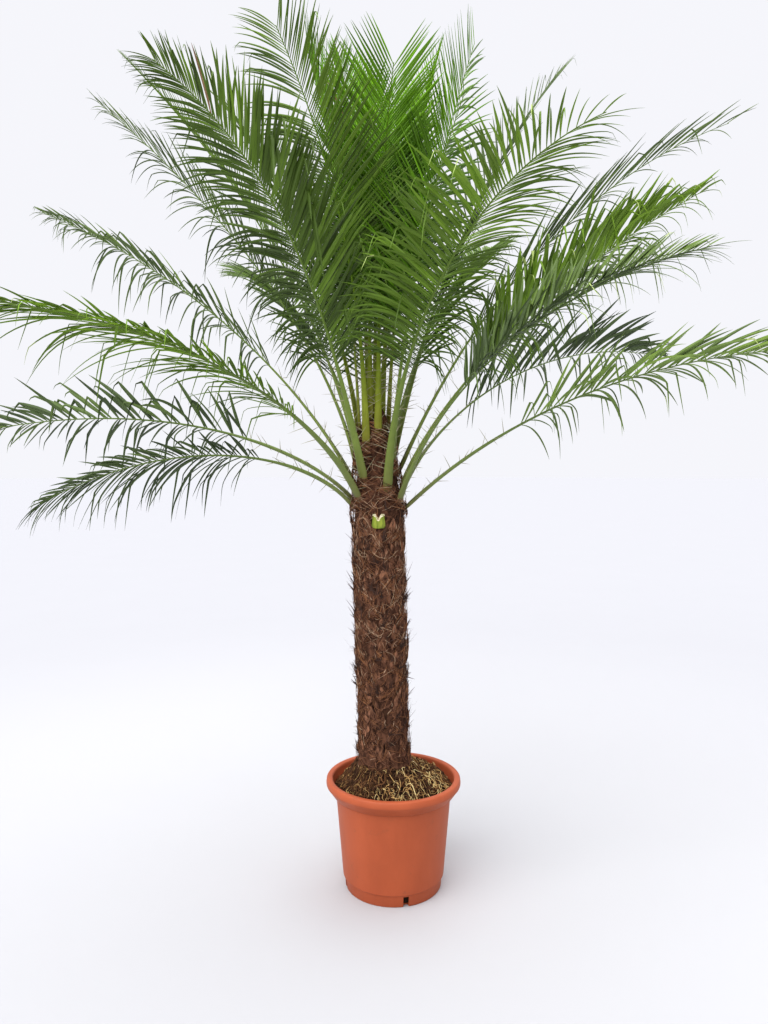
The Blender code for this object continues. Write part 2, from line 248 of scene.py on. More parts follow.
def build_mottle_group() -> None:
    """Build the group that mottles a surface between two colours, in a cloud stretched along Z."""
    tree = bpy.data.node_groups.new("mottle", "ShaderNodeTree")
    for side, kind, names in (
        ("INPUT", Socket.COLOUR, ("Dark", "Light")),
        ("INPUT", Socket.NUMBER, ("Scale", "Stretch", "Contrast")),
        ("OUTPUT", Socket.COLOUR, ("Colour",)),
    ):
        for name in names:
            tree.interface.new_socket(name=name, in_out=side, socket_type=kind.value)
    wires = Wiring(tree)
    given = tree.nodes.new("NodeGroupInput").outputs
    squeeze = wires.node("CombineXYZ", "Vector", {"X": 1.0, "Y": 1.0, "Z": given["Stretch"]})
    place = wires.node("TexCoord", "Object")
    place = wires.node("VectorMath", "Vector", {0: place, 1: squeeze}, operation="MULTIPLY")
    cloud = {"Vector": place, "Scale": given["Scale"], "Detail": 5.0, "Roughness": 0.62}
    share = wires.math("SUBTRACT", wires.node("TexNoise", "Fac", cloud), 0.5)
    share = wires.math("MULTIPLY", share, given["Contrast"])
    share = wires.math("ADD", share, 0.5, use_clamp=True)
    mixed = wires.blend(share, given["Dark"], given["Light"])
    wires.feed(tree.nodes.new("NodeGroupOutput"), {"Colour": mixed})


@dataclass(frozen=True)
class Finish:
    """A mottled finish with a fine relief."""

    name: str
    dark: Colour
    light: Colour
    scale: float = 40.0
    stretch: float = 1.0
    contrast: float = 2.0
    roughness: float = 0.6
    relief: float = 0.0
    relief_scale: float = 300.0
    specular: float = 0.5

    def colour(self, wires: Wiring, mottled: bpy.types.NodeSocket) -> bpy.types.NodeSocket:
        """Give the surface's colour, made from the mottled one."""
        return mottled

    def make(self) -> bpy.types.Material:
        """Make the material."""
        made = bpy.data.materials.new(self.name)
        made.use_nodes = True
        wires = Wiring(made.node_tree)
        mottle = {
            "Dark": (*self.dark, 1.0),
            "Light": (*self.light, 1.0),
            "Scale": self.scale,
            "Stretch": self.stretch,
            "Contrast": self.contrast,
        }
        mottled = wires.node("Group", "Colour", mottle, node_tree=bpy.data.node_groups["mottle"])
        surface = {
            "Base Color": self.colour(wires, mottled),
            "Roughness": self.roughness,
            "Specular IOR Level": self.specular,
        }
        if self.relief:
            grain = {"Vector": wires.node("TexCoord", "Object"), "Scale": self.relief_scale, "Detail": 4.0}
            bump = {"Height": wires.node("TexNoise", "Fac", grain), "Strength": 0.6, "Distance": self.relief}
            surface["Normal"] = wires.node("Bump", "Normal", bump)
        wires.feed(made.node_tree.nodes["Principled BSDF"], surface)
        return made


@dataclass(frozen=True)
class RibFinish(Finish):
    """A mottled finish that runs through a row of colours along a rib, from its foot to its tip."""

    steps: tuple[tuple[float, Colour], ...] = ()

    def colour(self, wires: Wiring, mottled: bpy.types.NodeSocket) -> bpy.types.NodeSocket:
        """Tint the mottled colour by the attribute "along"."""
        place = wires.node("Attribute", "Fac", attribute_name="along")
        ramp = wires.node("ValToRGB", "Color", {"Fac": place})
        stops = ramp.node.color_ramp.elements
        for stop, (share, colour) in zip(stops, (self.steps[0], self.steps[-1])):
            stop.position, stop.color = share, (*colour, 1.0)
        for share, colour in self.steps[1:-1]:
            stops.new(share).color = (*colour, 1.0)
        return wires.blend(1.0, ramp, mottled, blend_type="MULTIPLY")


@dataclass(frozen=True)
class PotFinish(Finish):
    """Moulded plastic with patches of dried soil."""

    grime: Colour = (0.20, 0.085, 0.045)
    grime_scale: float = 26.0
    grime_low: float = 0.60
    grime_high: float = 0.86

    def colour(self, wires: Wiring, mottled: bpy.types.NodeSocket) -> bpy.types.NodeSocket:
        """Lay the soil on the mottled colour."""
        place = wires.node("TexCoord", "Object")
        cloud = {"Vector": place, "Scale": self.grime_scale, "Detail": 6.0, "Roughness": 0.7}
        cloud = wires.node("TexNoise", "Fac", cloud)
        reach = wires.node("MapRange", "Result", {0: cloud, 1: self.grime_low, 2: self.grime_high})
        return wires.blend(reach, mottled, (*self.grime, 1.0))


@dataclass(frozen=True)
class FloorFinish(Finish):
    """A floor with painted light: a little brighter round the plant than far off, to lift the shade that the
    plant casts.
    """

    near: Colour = (0.492, 0.492, 0.507)
    near_end: float = 0.4
    far_start: float = 2.8

    def colour(self, wires: Wiring, mottled: bpy.types.NodeSocket) -> bpy.types.NodeSocket:
        """Pass from the painted light round the plant to the mottled colour."""
        off = wires.node("VectorMath", "Value", {0: wires.node("TexCoord", "Object")}, operation="LENGTH")
        reach = {0: off, 1: self.near_end, 2: self.far_start}
        reach = wires.node("MapRange", "Result", reach, interpolation_type="SMOOTHSTEP")
        return wires.blend(reach, (*self.near, 1.0), mottled)


RUNGS = (0.44, 0.66, 1.0, 1.42, 2.05)
# Painted highlight: the pale green given to the ends of hooked leaflets, where light catches the bend.
PAINTED_HIGHLIGHT_LEAF = Finish("leaf_pale", (0.360, 0.450, 0.140), (0.480, 0.570, 0.220), 30, 1, 2, 0.5, specular=0.25)
DRY_LEAF = Finish("leaf_dry", (0.260, 0.150, 0.085), (0.420, 0.270, 0.160), 60, 1, 2, 0.75, specular=0.2)


class Green(Enum):
    """The greens of the leaflets, each as its colour on the middle rung."""

    # Vivid is partly the young leaflets' own yellow green and partly painted light that shines through them.
    VIVID = (0.110, 0.236, 0.008)
    OLIVE = (0.110, 0.182, 0.026)
    GREY = (0.108, 0.158, 0.052)

    def finish(self, rung: int) -> Finish:
        """Give the finish of a rung of this green's ladder, from dark to bright."""
        red, green, blue = self.value
        share = RUNGS[rung]
        dark = (red * share, green * share, blue * share**0.6)
        light = (dark[0] * 1.36, dark[1] * 1.34, dark[2] * 1.25)
        name = f"leaf_{self.name.lower()}_{rung}"
        return Finish(name, dark, light, 30, 1, 2, 0.5, specular=0.28 - 0.02 * rung)


LEAVES = (*(green.finish(rung) for green in Green for rung in range(len(RUNGS))), PAINTED_HIGHLIGHT_LEAF, DRY_LEAF)


class Age(Enum):
    """The three ages of the fronds, named as the record's material slots."""

    OLD = "frond_old"
    GROWN = "frond_grown"
    YOUNG = "frond_young"


@dataclass(frozen=True)
class Column:
    """The leaning trunk: its middle line and its outline, by height."""

    foot: float = 0.2360
    bark_top: float = 0.744
    tip: float = 0.965
    lean: Table = ((0.2360, -0.019), (0.750, -0.030), (0.965, -0.038))
    radii: Table = (
        (0.2360, 0.0560), (0.262, 0.0500), (0.300, 0.0465), (0.700, 0.0480), (0.760, 0.0450),
        (0.800, 0.0415), (0.880, 0.0320), (0.945, 0.0200), (0.965, 0.0120),
    )

    def centre(self, height: Array | float) -> Array:
        """The middle of the trunk at each height."""
        height = np.asarray(height, dtype=float)
        return np.stack((read_table(self.lean, height), height * 0.0, height), axis=-1)

    def radius(self, height: Array | float) -> Array:
        """The trunk's radius at each height."""
        return read_table(self.radii, height)

    def spot(self, turn: Array, height: Array, lift: Array | float = 0.0) -> Array:
        """The points at a turn and a height, lifted off the trunk's outline."""
        out = np.stack((np.cos(turn), np.sin(turn), turn * 0.0), axis=-1)
        return self.centre(height) + out * (self.radius(height) + lift)[..., None]


@dataclass(frozen=True)
class Row:
    """How the leaflets on one side of a frond differ from the frond's habit.

    Attributes:
        lean: Their angle to the rib, against the frond's.
        rise: Degrees that they stand up more from the blade.
        sag: How far they bow down, against the frond's.
        length: Their length, against the frond's.
        half: Their breadth, against the frond's.
        turn: Degrees that each is turned more about its own line.
        gaps: The share of them that is missing.
        shade: Rungs that they are brighter, as painted light and shade: the lit side brighter, the hanging,
            shaded side darker.
    """

    lean: float = 1.0
    rise: float = 0.0
    sag: float = 1.0
    length: float = 1.0
    half: float = 1.0
    turn: float = 0.0
    gaps: float = 0.0
    shade: float = 0.0


@dataclass(frozen=True)
class Habit:
    """How the leaflets of a frond stand, hang and catch the light.

    Attributes:
        pairs: How many pairs there are.
        shade: Their rung on the ladder of greens.
        rise: The degrees that they stand up from the blade.
        sag: How far they bow down.
        turn: The degrees that each is turned about its own line.
        half: Half their breadth.
        hooked: The share whose ends hook over.
        kinked: The share that is bent down halfway.
        crowd: How much closer they stand towards the tip.
        lean: Their angle to the rib at the foot, halfway and at the tip of the blade.
        upper: What is different on the side that the frond's roll lifts. Without roll, it is the right
            side as seen from the trunk.
        lower: What is different on the other side.
        start: The share of the frond's length where its leaflets start.
        reach: Their length, against the usual one.
        ends: The length of those at the tip, against the usual one.
        green: Their green.
        loose: How unruly they are.
        droop: How much more the first ones on the blade bow down.
        flash: The share of the hooked ones whose ends are pale: a painted highlight, where light catches the
            bend.
    """

    pairs: int = 54
    shade: float = 2.0
    rise: float = 26.0
    sag: float = 0.30
    turn: float = 20.0
    half: float = 0.0038
    hooked: float = 0.08
    kinked: float = 0.03
    crowd: float = 1.12
    lean: tuple[float, float, float] = (62.0, 43.0, 16.0)
    upper: Row = Row()
    lower: Row = Row()
    start: float = 0.27
    reach: float = 1.0
    ends: float = 1.0
    green: Green = Green.OLIVE
    loose: float = 0.6
    droop: float = 1.0
    flash: float = 0.0


@dataclass(frozen=True)
class Frond:
    """One frond: the course of its rib, as in the solids, and the habit of its leaflets.

    Attributes:
        azimuth: The way that it faces, in degrees from +X.
        height: The height of its foot.
        lift: The degrees that it stands up from level at the foot.
        arch: The degrees that it has bowed over at the tip.
        bend: The power by which it bows over along its length.
        length: The length of its rib.
        roll: The degrees that it has rolled over at the top of its stalk.
        habit: The habit of its leaflets.
    """

    azimuth: float
    height: float
    lift: float
    arch: float
    bend: float
    length: float
    roll: float
    habit: Habit


@dataclass
class Course:
    """The stations along a frond's rib, from its foot to its tip."""

    share: Array
    point: Array
    tangent: Array
    side: Array
    up: Array

    def at(self, share: Array) -> "Course":
        """Read the course at other shares of the length."""
        point, *ways = (
            np.stack([np.interp(share, self.share, axis) for axis in values.T], axis=-1)
            for values in (self.point, self.tangent, self.side, self.up)
        )
        return Course(share, point, *(unit(way) for way in ways))

    def away(self, hand: Array, lean: Array, rise: Array) -> Array:
        """Point away from the rib at each station.

        Args:
            hand: The side to point to.
            lean: The angle to the rib.
            rise: How far to rise off the blade.

        Returns:
            The directions.
        """
        outward = self.side * (hand * np.cos(rise))[:, None] + self.up * np.sin(rise)[:, None]
        return self.tangent * np.cos(lean)[:, None] + outward * np.sin(lean)[:, None]


@dataclass
class Leaflets:
    """Many leaflets of one frond, as the middle line, the breadth, the face and the green of each, and which
    have a painted highlight at the end.
    """

    lines: Array
    across: Array
    face: Array
    half: Array
    tint: Array
    painted_highlight: Array

    def pick(self, keep: Array) -> "Leaflets":
        """Keep some of the leaflets."""
        return Leaflets(*(getattr(self, part.name)[keep] for part in fields(self)))


@dataclass
class Crown:
    """The fronds: ribs with spines on their stalks, and folded leaflets in two rows."""

    column: Column = Column()
    stalk_share: float = 0.23
    course_steps: int = 80
    rib_rings: int = 76
    rib_corners: int = 10
    rib_half: Table = (
        (0.0, 0.0035), (0.006, 0.0072), (0.015, 0.0095), (0.03, 0.0102), (0.11, 0.0080),
        (0.22, 0.0052), (0.30, 0.0036), (0.40, 0.0026), (0.60, 0.0019), (1.0, 0.0008),
    )
    rib_deep: Table = (
        (0.0, 0.0030), (0.006, 0.0060), (0.015, 0.0080), (0.03, 0.0086), (0.11, 0.0070),
        (0.22, 0.0050), (0.30, 0.0038), (0.40, 0.0030), (0.60, 0.0022), (1.0, 0.0010),
    )
    flat_share: float = 0.35
    leaf_least: float = 0.140
    leaf_growth: float = 0.040
    leaf_profile: tuple[float, float, float] = (0.16, 0.78, 0.6)
    leaf_rings: int = 14
    leaf_foot_rings: int = 3
    leaf_thick: float = 0.0006
    leaf_fold: float = 0.62
    leaf_outline: Table = (
        (0.0, 0.32), (0.08, 0.54), (0.28, 0.95), (0.45, 1.0), (0.70, 0.74), (0.90, 0.34), (1.0, 0.03),
    )
    leaf_usual: float = 0.16
    leaf_stray: tuple[float, float, float] = (3.0, 5.0, 9.0)
    tail_start: float = 0.6
    hook_start: Span = (0.68, 0.88)
    hook_pull: Span = (1.2, 2.6)
    kink_start: Span = (0.38, 0.65)
    kink_pull: float = 2.8
    tint_stray: float = 0.42
    spray_stray: float = 0.28
    trials: Table = ((0.0, 1.0), (14.0, 1.0), (-14.0, 1.0), (0.0, 0.75), (16.0, 0.55))
    dry_share: float = 0.0002
    spray: int = 5
    # The ring of a leaflet past which its painted highlight starts.
    flash_ring: int = 10
    ceiling: float = 1.786
    # Painted shade: leaflets rooted near the trunk and low in the crown take darker rungs.
    shade_at: float = -0.035
    shade_reach: float = 0.40
    shade_top: float = 1.45
    painted_shade_fade: float = 0.30
    painted_shade_drop: float = 0.8
    rib_steps: tuple[tuple[tuple[float, Colour], ...], ...] = (
        (
            (0.0, (0.150, 0.100, 0.040)), (0.02, (0.165, 0.178, 0.055)), (0.10, (0.195, 0.250, 0.072)),
            (0.26, (0.180, 0.245, 0.068)), (0.36, (0.145, 0.210, 0.054)), (1.0, (0.160, 0.240, 0.054)),
        ),
        (
            (0.0, (0.150, 0.105, 0.036)), (0.02, (0.170, 0.186, 0.050)), (0.10, (0.200, 0.258, 0.060)),
            (0.26, (0.180, 0.250, 0.054)), (0.36, (0.145, 0.220, 0.042)), (1.0, (0.160, 0.255, 0.040)),
        ),
        (
            (0.0, (0.230, 0.170, 0.036)), (0.02, (0.240, 0.235, 0.032)), (0.10, (0.260, 0.300, 0.030)),
            (0.26, (0.220, 0.300, 0.024)), (0.45, (0.160, 0.270, 0.018)), (1.0, (0.160, 0.290, 0.018)),
        ),
    )
    spine_pairs: int = 13
    spine_first: float = 0.035
    spine_last: float = 0.27
    spine_length: float = 0.036
    spine_thick: float = 0.0007
    spine_lean: Span = (40.0, 90.0)
    spine_taper: tuple[float, ...] = (1.0, 0.95, 0.75, 0.45, 0.06)
    old: tuple[Frond, ...] = (
        # This frond's high rung and grey green are partly its own colour and partly painted sheen, light
        # reflected off its leaflets.
        Frond(4, 0.758, 45, 45, 0.83, 0.96, 30, Habit(
            60, 3.1, 18, 0.35, -25, 0.0039, 0.24, 0.12, 1.1, (46, 32, 16), Row(rise=6, length=0.95),
            Row(rise=-4, sag=1.7, half=0.8, length=0.9, gaps=0.25, shade=-0.8),
            start=0.30, green=Green.GREY, loose=2.0, flash=0.3)),
        Frond(184, 0.762, 66, 95, 0.47, 0.65, -35, Habit(
            62, 0.8, 22, 0.30, -25, 0.0038, 0.50, 0.14, 1.1, (60, 42, 14), Row(length=0.52, half=0.85),
            Row(lean=0.9, rise=-6, sag=1.5, half=0.62, length=1.2, shade=-0.2),
            start=0.33, green=Green.GREY, loose=1.8)),
        Frond(37, 0.766, 79, 81, 0.45, 1.00, 30, Habit(
            50, 0.6, 22, 0.30, -25, 0.0056, 0.10, 0.06, 1.05, (52, 36, 16), Row(rise=10, length=1.15),
            Row(rise=-8, sag=2.4, half=0.42, gaps=0.5), green=Green.GREY, loose=1.6)),
        Frond(163, 0.769, 71, 80, 0.30, 0.98, -45, Habit(
            50, 0.9, 24, 0.30, -28, 0.0049, 0.60, 0.14, 1.15, (56, 42, 18), Row(length=0.85),
            Row(lean=0.8, rise=-6, sag=1.3, half=0.56, gaps=0.1, shade=-0.2), green=Green.GREY, loose=1.8)),
        Frond(327, 0.772, 71, 65, 0.86, 0.73, -25, Habit(
            86, 2.2, 20, 0.30, -22, 0.0043, 0.26, 0.05, 0.82, (58, 50, 20), Row(rise=26, length=0.76),
            Row(lean=0.75, rise=-4, sag=1.6, half=0.46, length=1.3, gaps=0.25, shade=-0.8),
            start=0.36, ends=0.8, green=Green.GREY, loose=1.5, flash=0.2)),
        Frond(222, 0.776, 68, 74, 0.55, 0.88, -20, Habit(
            100, 2.5, 18, 0.40, -10, 0.0037, 0.34, 0.14, 1.0, (50, 36, 18),
            Row(lean=0.7, rise=-10, sag=0.8, length=0.50, half=0.8),
            Row(lean=0.95, sag=0.7, length=1.16, half=0.64, shade=-0.3),
            start=0.25, ends=0.8, loose=2.2, flash=0.2)),
    )
    grown: tuple[Frond, ...] = (
        Frond(96, 0.785, 74, 60, 0.90, 0.95, 0, Habit(60, 1.3, sag=0.40, half=0.0032)),
        Frond(295, 0.790, 88, 93, 0.86, 0.86, 0, Habit(
            104, 2.2, 14, 0.34, 18, 0.0026, 0.30, 0.02, 0.62, (66, 57, 22),
            Row(half=1.05, sag=0.9, shade=0.1, length=1.1),
            Row(half=0.72, sag=2.0, gaps=0.12, shade=-0.6, length=0.86),
            start=0.285, loose=0.9, droop=3.0, flash=0.26)),
        Frond(157, 0.797, 69, 46, 0.50, 1.06, -28, Habit(
            68, 1.9, 18, 0.40, -20, 0.0036, 0.34, 0.14, 1.1, (50, 34, 16), Row(length=0.66),
            Row(rise=-8, sag=1.7, half=0.60, length=1.2, gaps=0.1), start=0.30, green=Green.GREY, loose=1.8)),
        Frond(355, 0.801, 71, 43, 0.61, 0.82, 25, Habit(
            96, 2.6, 22, 0.50, -22, 0.0048, 0.50, 0.05, 0.66, (66, 38, 12), Row(rise=6, sag=1.4),
            Row(rise=-6, sag=2.2, half=0.46, gaps=0.3, shade=-0.4),
            start=0.35, ends=0.8, loose=1.4, flash=0.3)),
        Frond(122, 0.802, 74, 64, 0.80, 0.95, 0, Habit(60, 1.2, sag=0.45, half=0.0032)),
        Frond(62, 0.807, 74, 58, 0.90, 0.95, 0, Habit(60, 1.3, sag=0.40, half=0.0032)),
        Frond(236, 0.812, 70, 60, 1.92, 0.81, 0, Habit(
            122, 1.6, 12, 0.46, 12, 0.0023, 0.16, 0.03, 0.95, (68, 60, 34),
            Row(sag=1.5, half=1.1, shade=-0.8), Row(lean=0.74, sag=0.3, half=1.75, turn=10, length=1.12),
            start=0.29, ends=0.75, loose=0.9, droop=2.5)),
        Frond(16, 0.827, 66, 43, 1.08, 1.11, 22, Habit(
            38, 1.5, 14, 0.26, -18, 0.0035, 0.12, 0.03, 0.85, (36, 25, 20), Row(length=0.9),
            Row(rise=-8, sag=1.8, half=0.65, length=0.8, gaps=0.35), ends=1.25, green=Green.GREY, loose=1.0)),
        Frond(172, 0.833, 88, 48, 0.44, 0.93, -22, Habit(
            62, 1.5, 14, 0.50, -16, 0.0025, 0.20, 0.08, 1.0, (50, 40, 18), Row(length=0.8),
            Row(rise=-6, sag=1.7, half=0.75, length=1.15, gaps=0.1), ends=0.7, green=Green.GREY, loose=1.4)),
        Frond(318, 0.842, 85, 22, 1.30, 0.68, 0, Habit(
            80, 1.5, 20, 0.34, 24, 0.0026, 0.10, 0.02, 0.9, (60, 52, 30), Row(half=1.1),
            Row(lean=1.35, rise=-10, sag=1.5, gaps=0.35, shade=-0.6, length=1.3),
            start=0.35, green=Green.VIVID, loose=0.9, droop=3.0)),
        Frond(36, 0.851, 75, 28, 1.10, 1.03, 0, Habit(
            52, 1.4, 24, 0.30, 14, 0.0024, 0.14, 0.03, 0.9, (46, 30, 14), ends=1.1, green=Green.GREY)),
        Frond(196, 0.857, 78, 36, 0.90, 0.84, 0, Habit(66, 1.7, sag=0.35, half=0.0026, reach=0.7, ends=0.35)),
    )
    young: tuple[Frond, ...] = (
        Frond(78, 0.863, 82, 30, 1.00, 0.95, 0, Habit(72, 1.8, 26, 0.25, 25, 0.0026)),
        Frond(140, 0.869, 80, 36, 1.00, 0.92, 0, Habit(70, 1.7, 26, 0.30, 20, 0.0026)),
        Frond(239, 0.875, 88, 45, 1.26, 0.742, 0, Habit(
            96, 1.8, 22, 0.50, 25, 0.0027, 0.10, 0.02, 0.95, (66, 60, 36),
            Row(lean=1.15, rise=-10, sag=1.7, half=0.90, gaps=0.08, shade=-0.4),
            Row(lean=0.85, sag=0.6, half=1.1),
            start=0.32, ends=1.2, droop=3.0)),
        Frond(339, 0.885, 85, 14, 0.90, 0.75, 0, Habit(
            82, 1.8, 24, 0.30, 24, 0.0026, 0.08, 0.02, 0.9, (60, 52, 30), Row(half=1.15),
            Row(lean=1.4, rise=-14, sag=1.5, gaps=0.35, shade=-0.9, length=1.3),
            start=0.32, green=Green.VIVID, loose=0.8, droop=3.0)),
        Frond(112, 0.891, 86, 18, 1.30, 0.85, 0, Habit(
            74, 1.9, 26, 0.25, 25, 0.0026, start=0.30, green=Green.VIVID)),
        Frond(279, 0.899, 88, 47, 2.30, 0.66, 0, Habit(
            88, 2.0, 20, 0.14, 18, 0.0028, 0.04, 0.01, 0.84, (60, 50, 34),
            start=0.32, reach=1.03, ends=1.3, green=Green.VIVID, loose=0.35, droop=3.5)),
        Frond(183, 0.907, 87, 12, 1.50, 0.74, 0, Habit(
            70, 2.2, 26, 0.22, 25, 0.0026, lean=(54, 42, 24), green=Green.VIVID)),
        Frond(30, 0.915, 87, 14, 1.50, 0.74, 0, Habit(
            70, 2.1, 26, 0.22, 25, 0.0026, lean=(54, 42, 24), green=Green.VIVID)),
        Frond(90, 0.923, 88, 10, 1.50, 0.70, 0, Habit(
            68, 2.4, 26, 0.20, 28, 0.0025, lean=(46, 36, 22), green=Green.VIVID)),
        Frond(250, 0.933, 89, 4, 1.50, 0.62, 0, Habit(
            56, 2.8, 24, 0.12, 35, 0.0024, lean=(30, 22, 14), start=0.40, green=Green.VIVID)),
    )

    def ages(self) -> Iterator[tuple[Age, dict[str, Frond]]]:
        """Give each age with its fronds, by the names of their nodes."""
        number = itertools.count(1)
        for age, fronds in zip(Age, (self.old, self.grown, self.young)):
            yield age, {f"frond_{next(number):02d}": frond for frond in fronds}

    def course(self, frond: Frond) -> Course:
        """Work out the stations of a frond by the rule of the solids.

        Args:
            frond: The frond.

        Returns:
            Its course, whose elevation falls from lift by arch and whose sides roll over up the stalk.
        """
        share = np.linspace(0.0, 1.0, self.course_steps + 1)
        azimuth = math.radians(frond.azimuth)
        out = np.array((math.cos(azimuth), math.sin(azimuth), 0.0))
        side = np.array((-out[1], out[0], 0.0))
        elevation = np.radians(frond.lift - frond.arch * share**frond.bend)[:, None]
        tangent = np.cos(elevation) * out + np.sin(elevation) * UP
        up = np.cross(tangent, side)
        hops = (tangent[1:] + tangent[:-1]) * (frond.length / self.course_steps / 2)
        flat = read_table(self.rib_deep, 0.02) * self.flat_share
        foot = self.column.centre(frond.height) + out * self.column.radius(frond.height) - up[0] * flat
        point = foot + np.vstack((np.zeros(3), np.cumsum(hops, axis=0)))
        turn = -math.radians(frond.roll) * np.minimum(1.0, share / self.stalk_share)[:, None]
        sides = side * np.cos(turn) + up * np.sin(turn)
        return Course(share, point, tangent, sides, up * np.cos(turn) - side * np.sin(turn))

    def rib(self, frond: Frond, course: Course) -> tuple[Array, Array]:
        """Loft the rib: flat above and keeled below, with a rounded foot.

        Args:
            frond: The frond.
            course: Its course.

        Returns:
            The rings of the rib, and each ring's share of the length.
        """
        share = np.linspace(0.0, 1.0, self.rib_rings) ** 1.6
        at = course.at(share)
        girth = 0.72 + 0.28 * min(1.0, (self.column.radius(frond.height) - 0.02) / 0.02)
        half = read_table(self.rib_half, share)[:, None, None] * girth
        deep = read_table(self.rib_deep, share)[:, None, None] * girth
        turns = ((np.arange(self.rib_corners) + 0.5) * FULL_TURN / self.rib_corners)[:, None]
        tall = np.sin(turns)
        tall = np.where(tall > 0, tall * self.flat_share, tall * (1 - self.flat_share))
        ring = at.point[:, None] + at.side[:, None] * np.cos(turns) * half + at.up[:, None] * tall * deep
        return ring[None], share[None]

    def blade_shares(self, habit: Habit, chance: Chance) -> tuple[Array, Array]:
        """Set the leaflets along the blade, in two rows that alternate and close up towards the tip.

        Args:
            habit: The frond's habit.
            chance: The source of chance.

        Returns:
            The share of the length where each leaflet stands, and the side that it stands on.
        """
        row = np.arange(habit.pairs)
        place = np.concatenate(((row + 0.3) / habit.pairs, (row + 0.8) / habit.pairs))
        jitter = 0.28 * habit.loose
        place = np.clip(place + chance.uniform(-jitter, jitter, place.size) / habit.pairs, 0.0, 1.0)
        return 1 - (1 - habit.start) * (1 - place) ** habit.crowd, np.repeat((1.0, -1.0), habit.pairs)

    def leaflets(self, frond: Frond, course: Course, seed: int, extra: float, stretch: float) -> Leaflets:
        """Grow the leaflets of a frond by the rule of the solids, in finer steps.

        Args:
            frond: The frond.
            course: Its course.
            seed: The seed of its chances.
            extra: Degrees that the leaflets are raised past their usual place.
            stretch: Their length against the usual one.

        Returns:
            The leaflets.
        """
        chance = np.random.default_rng(seed)
        habit = frond.habit
        share, hand = self.blade_shares(habit, chance)
        count = share.size
        at = course.at(share)
        blade = (share - self.stalk_share) / (1 - self.stalk_share)
        tail = np.clip((blade - self.tail_start) / (1 - self.tail_start), 0, 1)
        row = self.rows(frond, hand)
        stray = np.array(self.leaf_stray)[:, None] * chance.normal(0, habit.loose, (3, count))
        lean = np.radians(np.interp(blade, (0.0, 0.5, 1.0), habit.lean) * row.lean + stray[0])
        rise = np.radians(habit.rise + row.rise + extra + stray[1] * (1.3 - blade))
        heading = at.away(hand, lean, rise)
        start, span, power = self.leaf_profile
        length = self.leaf_least + self.leaf_growth * frond.length
        length = length * np.sin(math.pi * (start + span * blade)) ** power
        length = length * habit.reach * (1 + (habit.ends - 1) * tail)
        length = length * row.length * stretch * chance.uniform(0.90, 1.06, count)
        length = length * (1 - 0.20 * habit.loose * chance.random(count) ** 2)
        fall, hooked = self.fall(habit, row.sag, heading, blade, chance)
        sway = chance.normal(0, 0.12 * habit.loose, (count, 1, 1))
        sway = sway * at.tangent[:, None] * self.steps()[:, None]
        ways = unit(heading[:, None] + sway - UP * fall[..., None])
        hops = ways * (length / (self.leaf_rings - 1))[:, None, None]
        root = at.point + at.side * (hand * read_table(self.rib_half, share) * 0.5)[:, None]
        lines = root[:, None] + np.concatenate((np.zeros((count, 1, 3)), np.cumsum(hops, axis=1)), axis=1)
        turn = np.radians((habit.turn + row.turn) * hand + stray[2])
        across, face = self.frames(lines, heading, at.up, turn, chance)
        half = habit.half * row.half * (length / self.leaf_usual) ** 0.35 * chance.uniform(0.88, 1.12, count)
        half = half * np.clip(0.62 + 1.5 * blade, 0.62, 1.0) * (1 - 0.4 * tail)
        # Painted shade: the deeper and lower a leaflet's root lies in the crown, the darker its rung.
        inside = np.clip(1 - np.hypot(root[:, 0] - self.shade_at, root[:, 1]) / self.shade_reach, 0, 1)
        inside = inside * np.clip((self.shade_top - root[:, 2]) / self.painted_shade_fade, 0, 1)
        spray = np.repeat(chance.normal(0, self.spray_stray, -(-count // self.spray)), self.spray)[:count]
        # Row shade paints light and shade on the frond's two sides.
        rung = habit.shade + row.shade + 0.5 * (blade - 0.5) - self.painted_shade_drop * inside + spray
        rung = rung + chance.normal(0, self.tint_stray, count)
        ladder = len(RUNGS) * list(Green).index(habit.green)
        tint = np.clip(np.round(rung), 0, len(RUNGS) - 1).astype(int) + ladder
        tint = np.where(chance.random(count) < self.dry_share, LEAVES.index(DRY_LEAF), tint)
        # Painted highlight: some hooked leaflets on the blade get pale ends, where light catches the bend.
        painted_highlight = hooked & (blade > 0.3) & (chance.random(count) < habit.flash)
        return Leaflets(lines, across, face, half, tint, painted_highlight)

    def rows(self, frond: Frond, hand: Array) -> Row:
        """Give the row of each leaflet by the side that it stands on, as one row whose values are arrays."""
        upper = hand * (frond.roll or 1.0) < 0
        sides = (np.array(astuple(row))[:, None] for row in (frond.habit.upper, frond.habit.lower))
        return Row(*np.where(upper, *sides))

    def steps(self) -> Array:
        """The middles of the steps along a leaflet, as shares of its length."""
        return (np.arange(self.leaf_rings - 1) + 0.5) / (self.leaf_rings - 1)

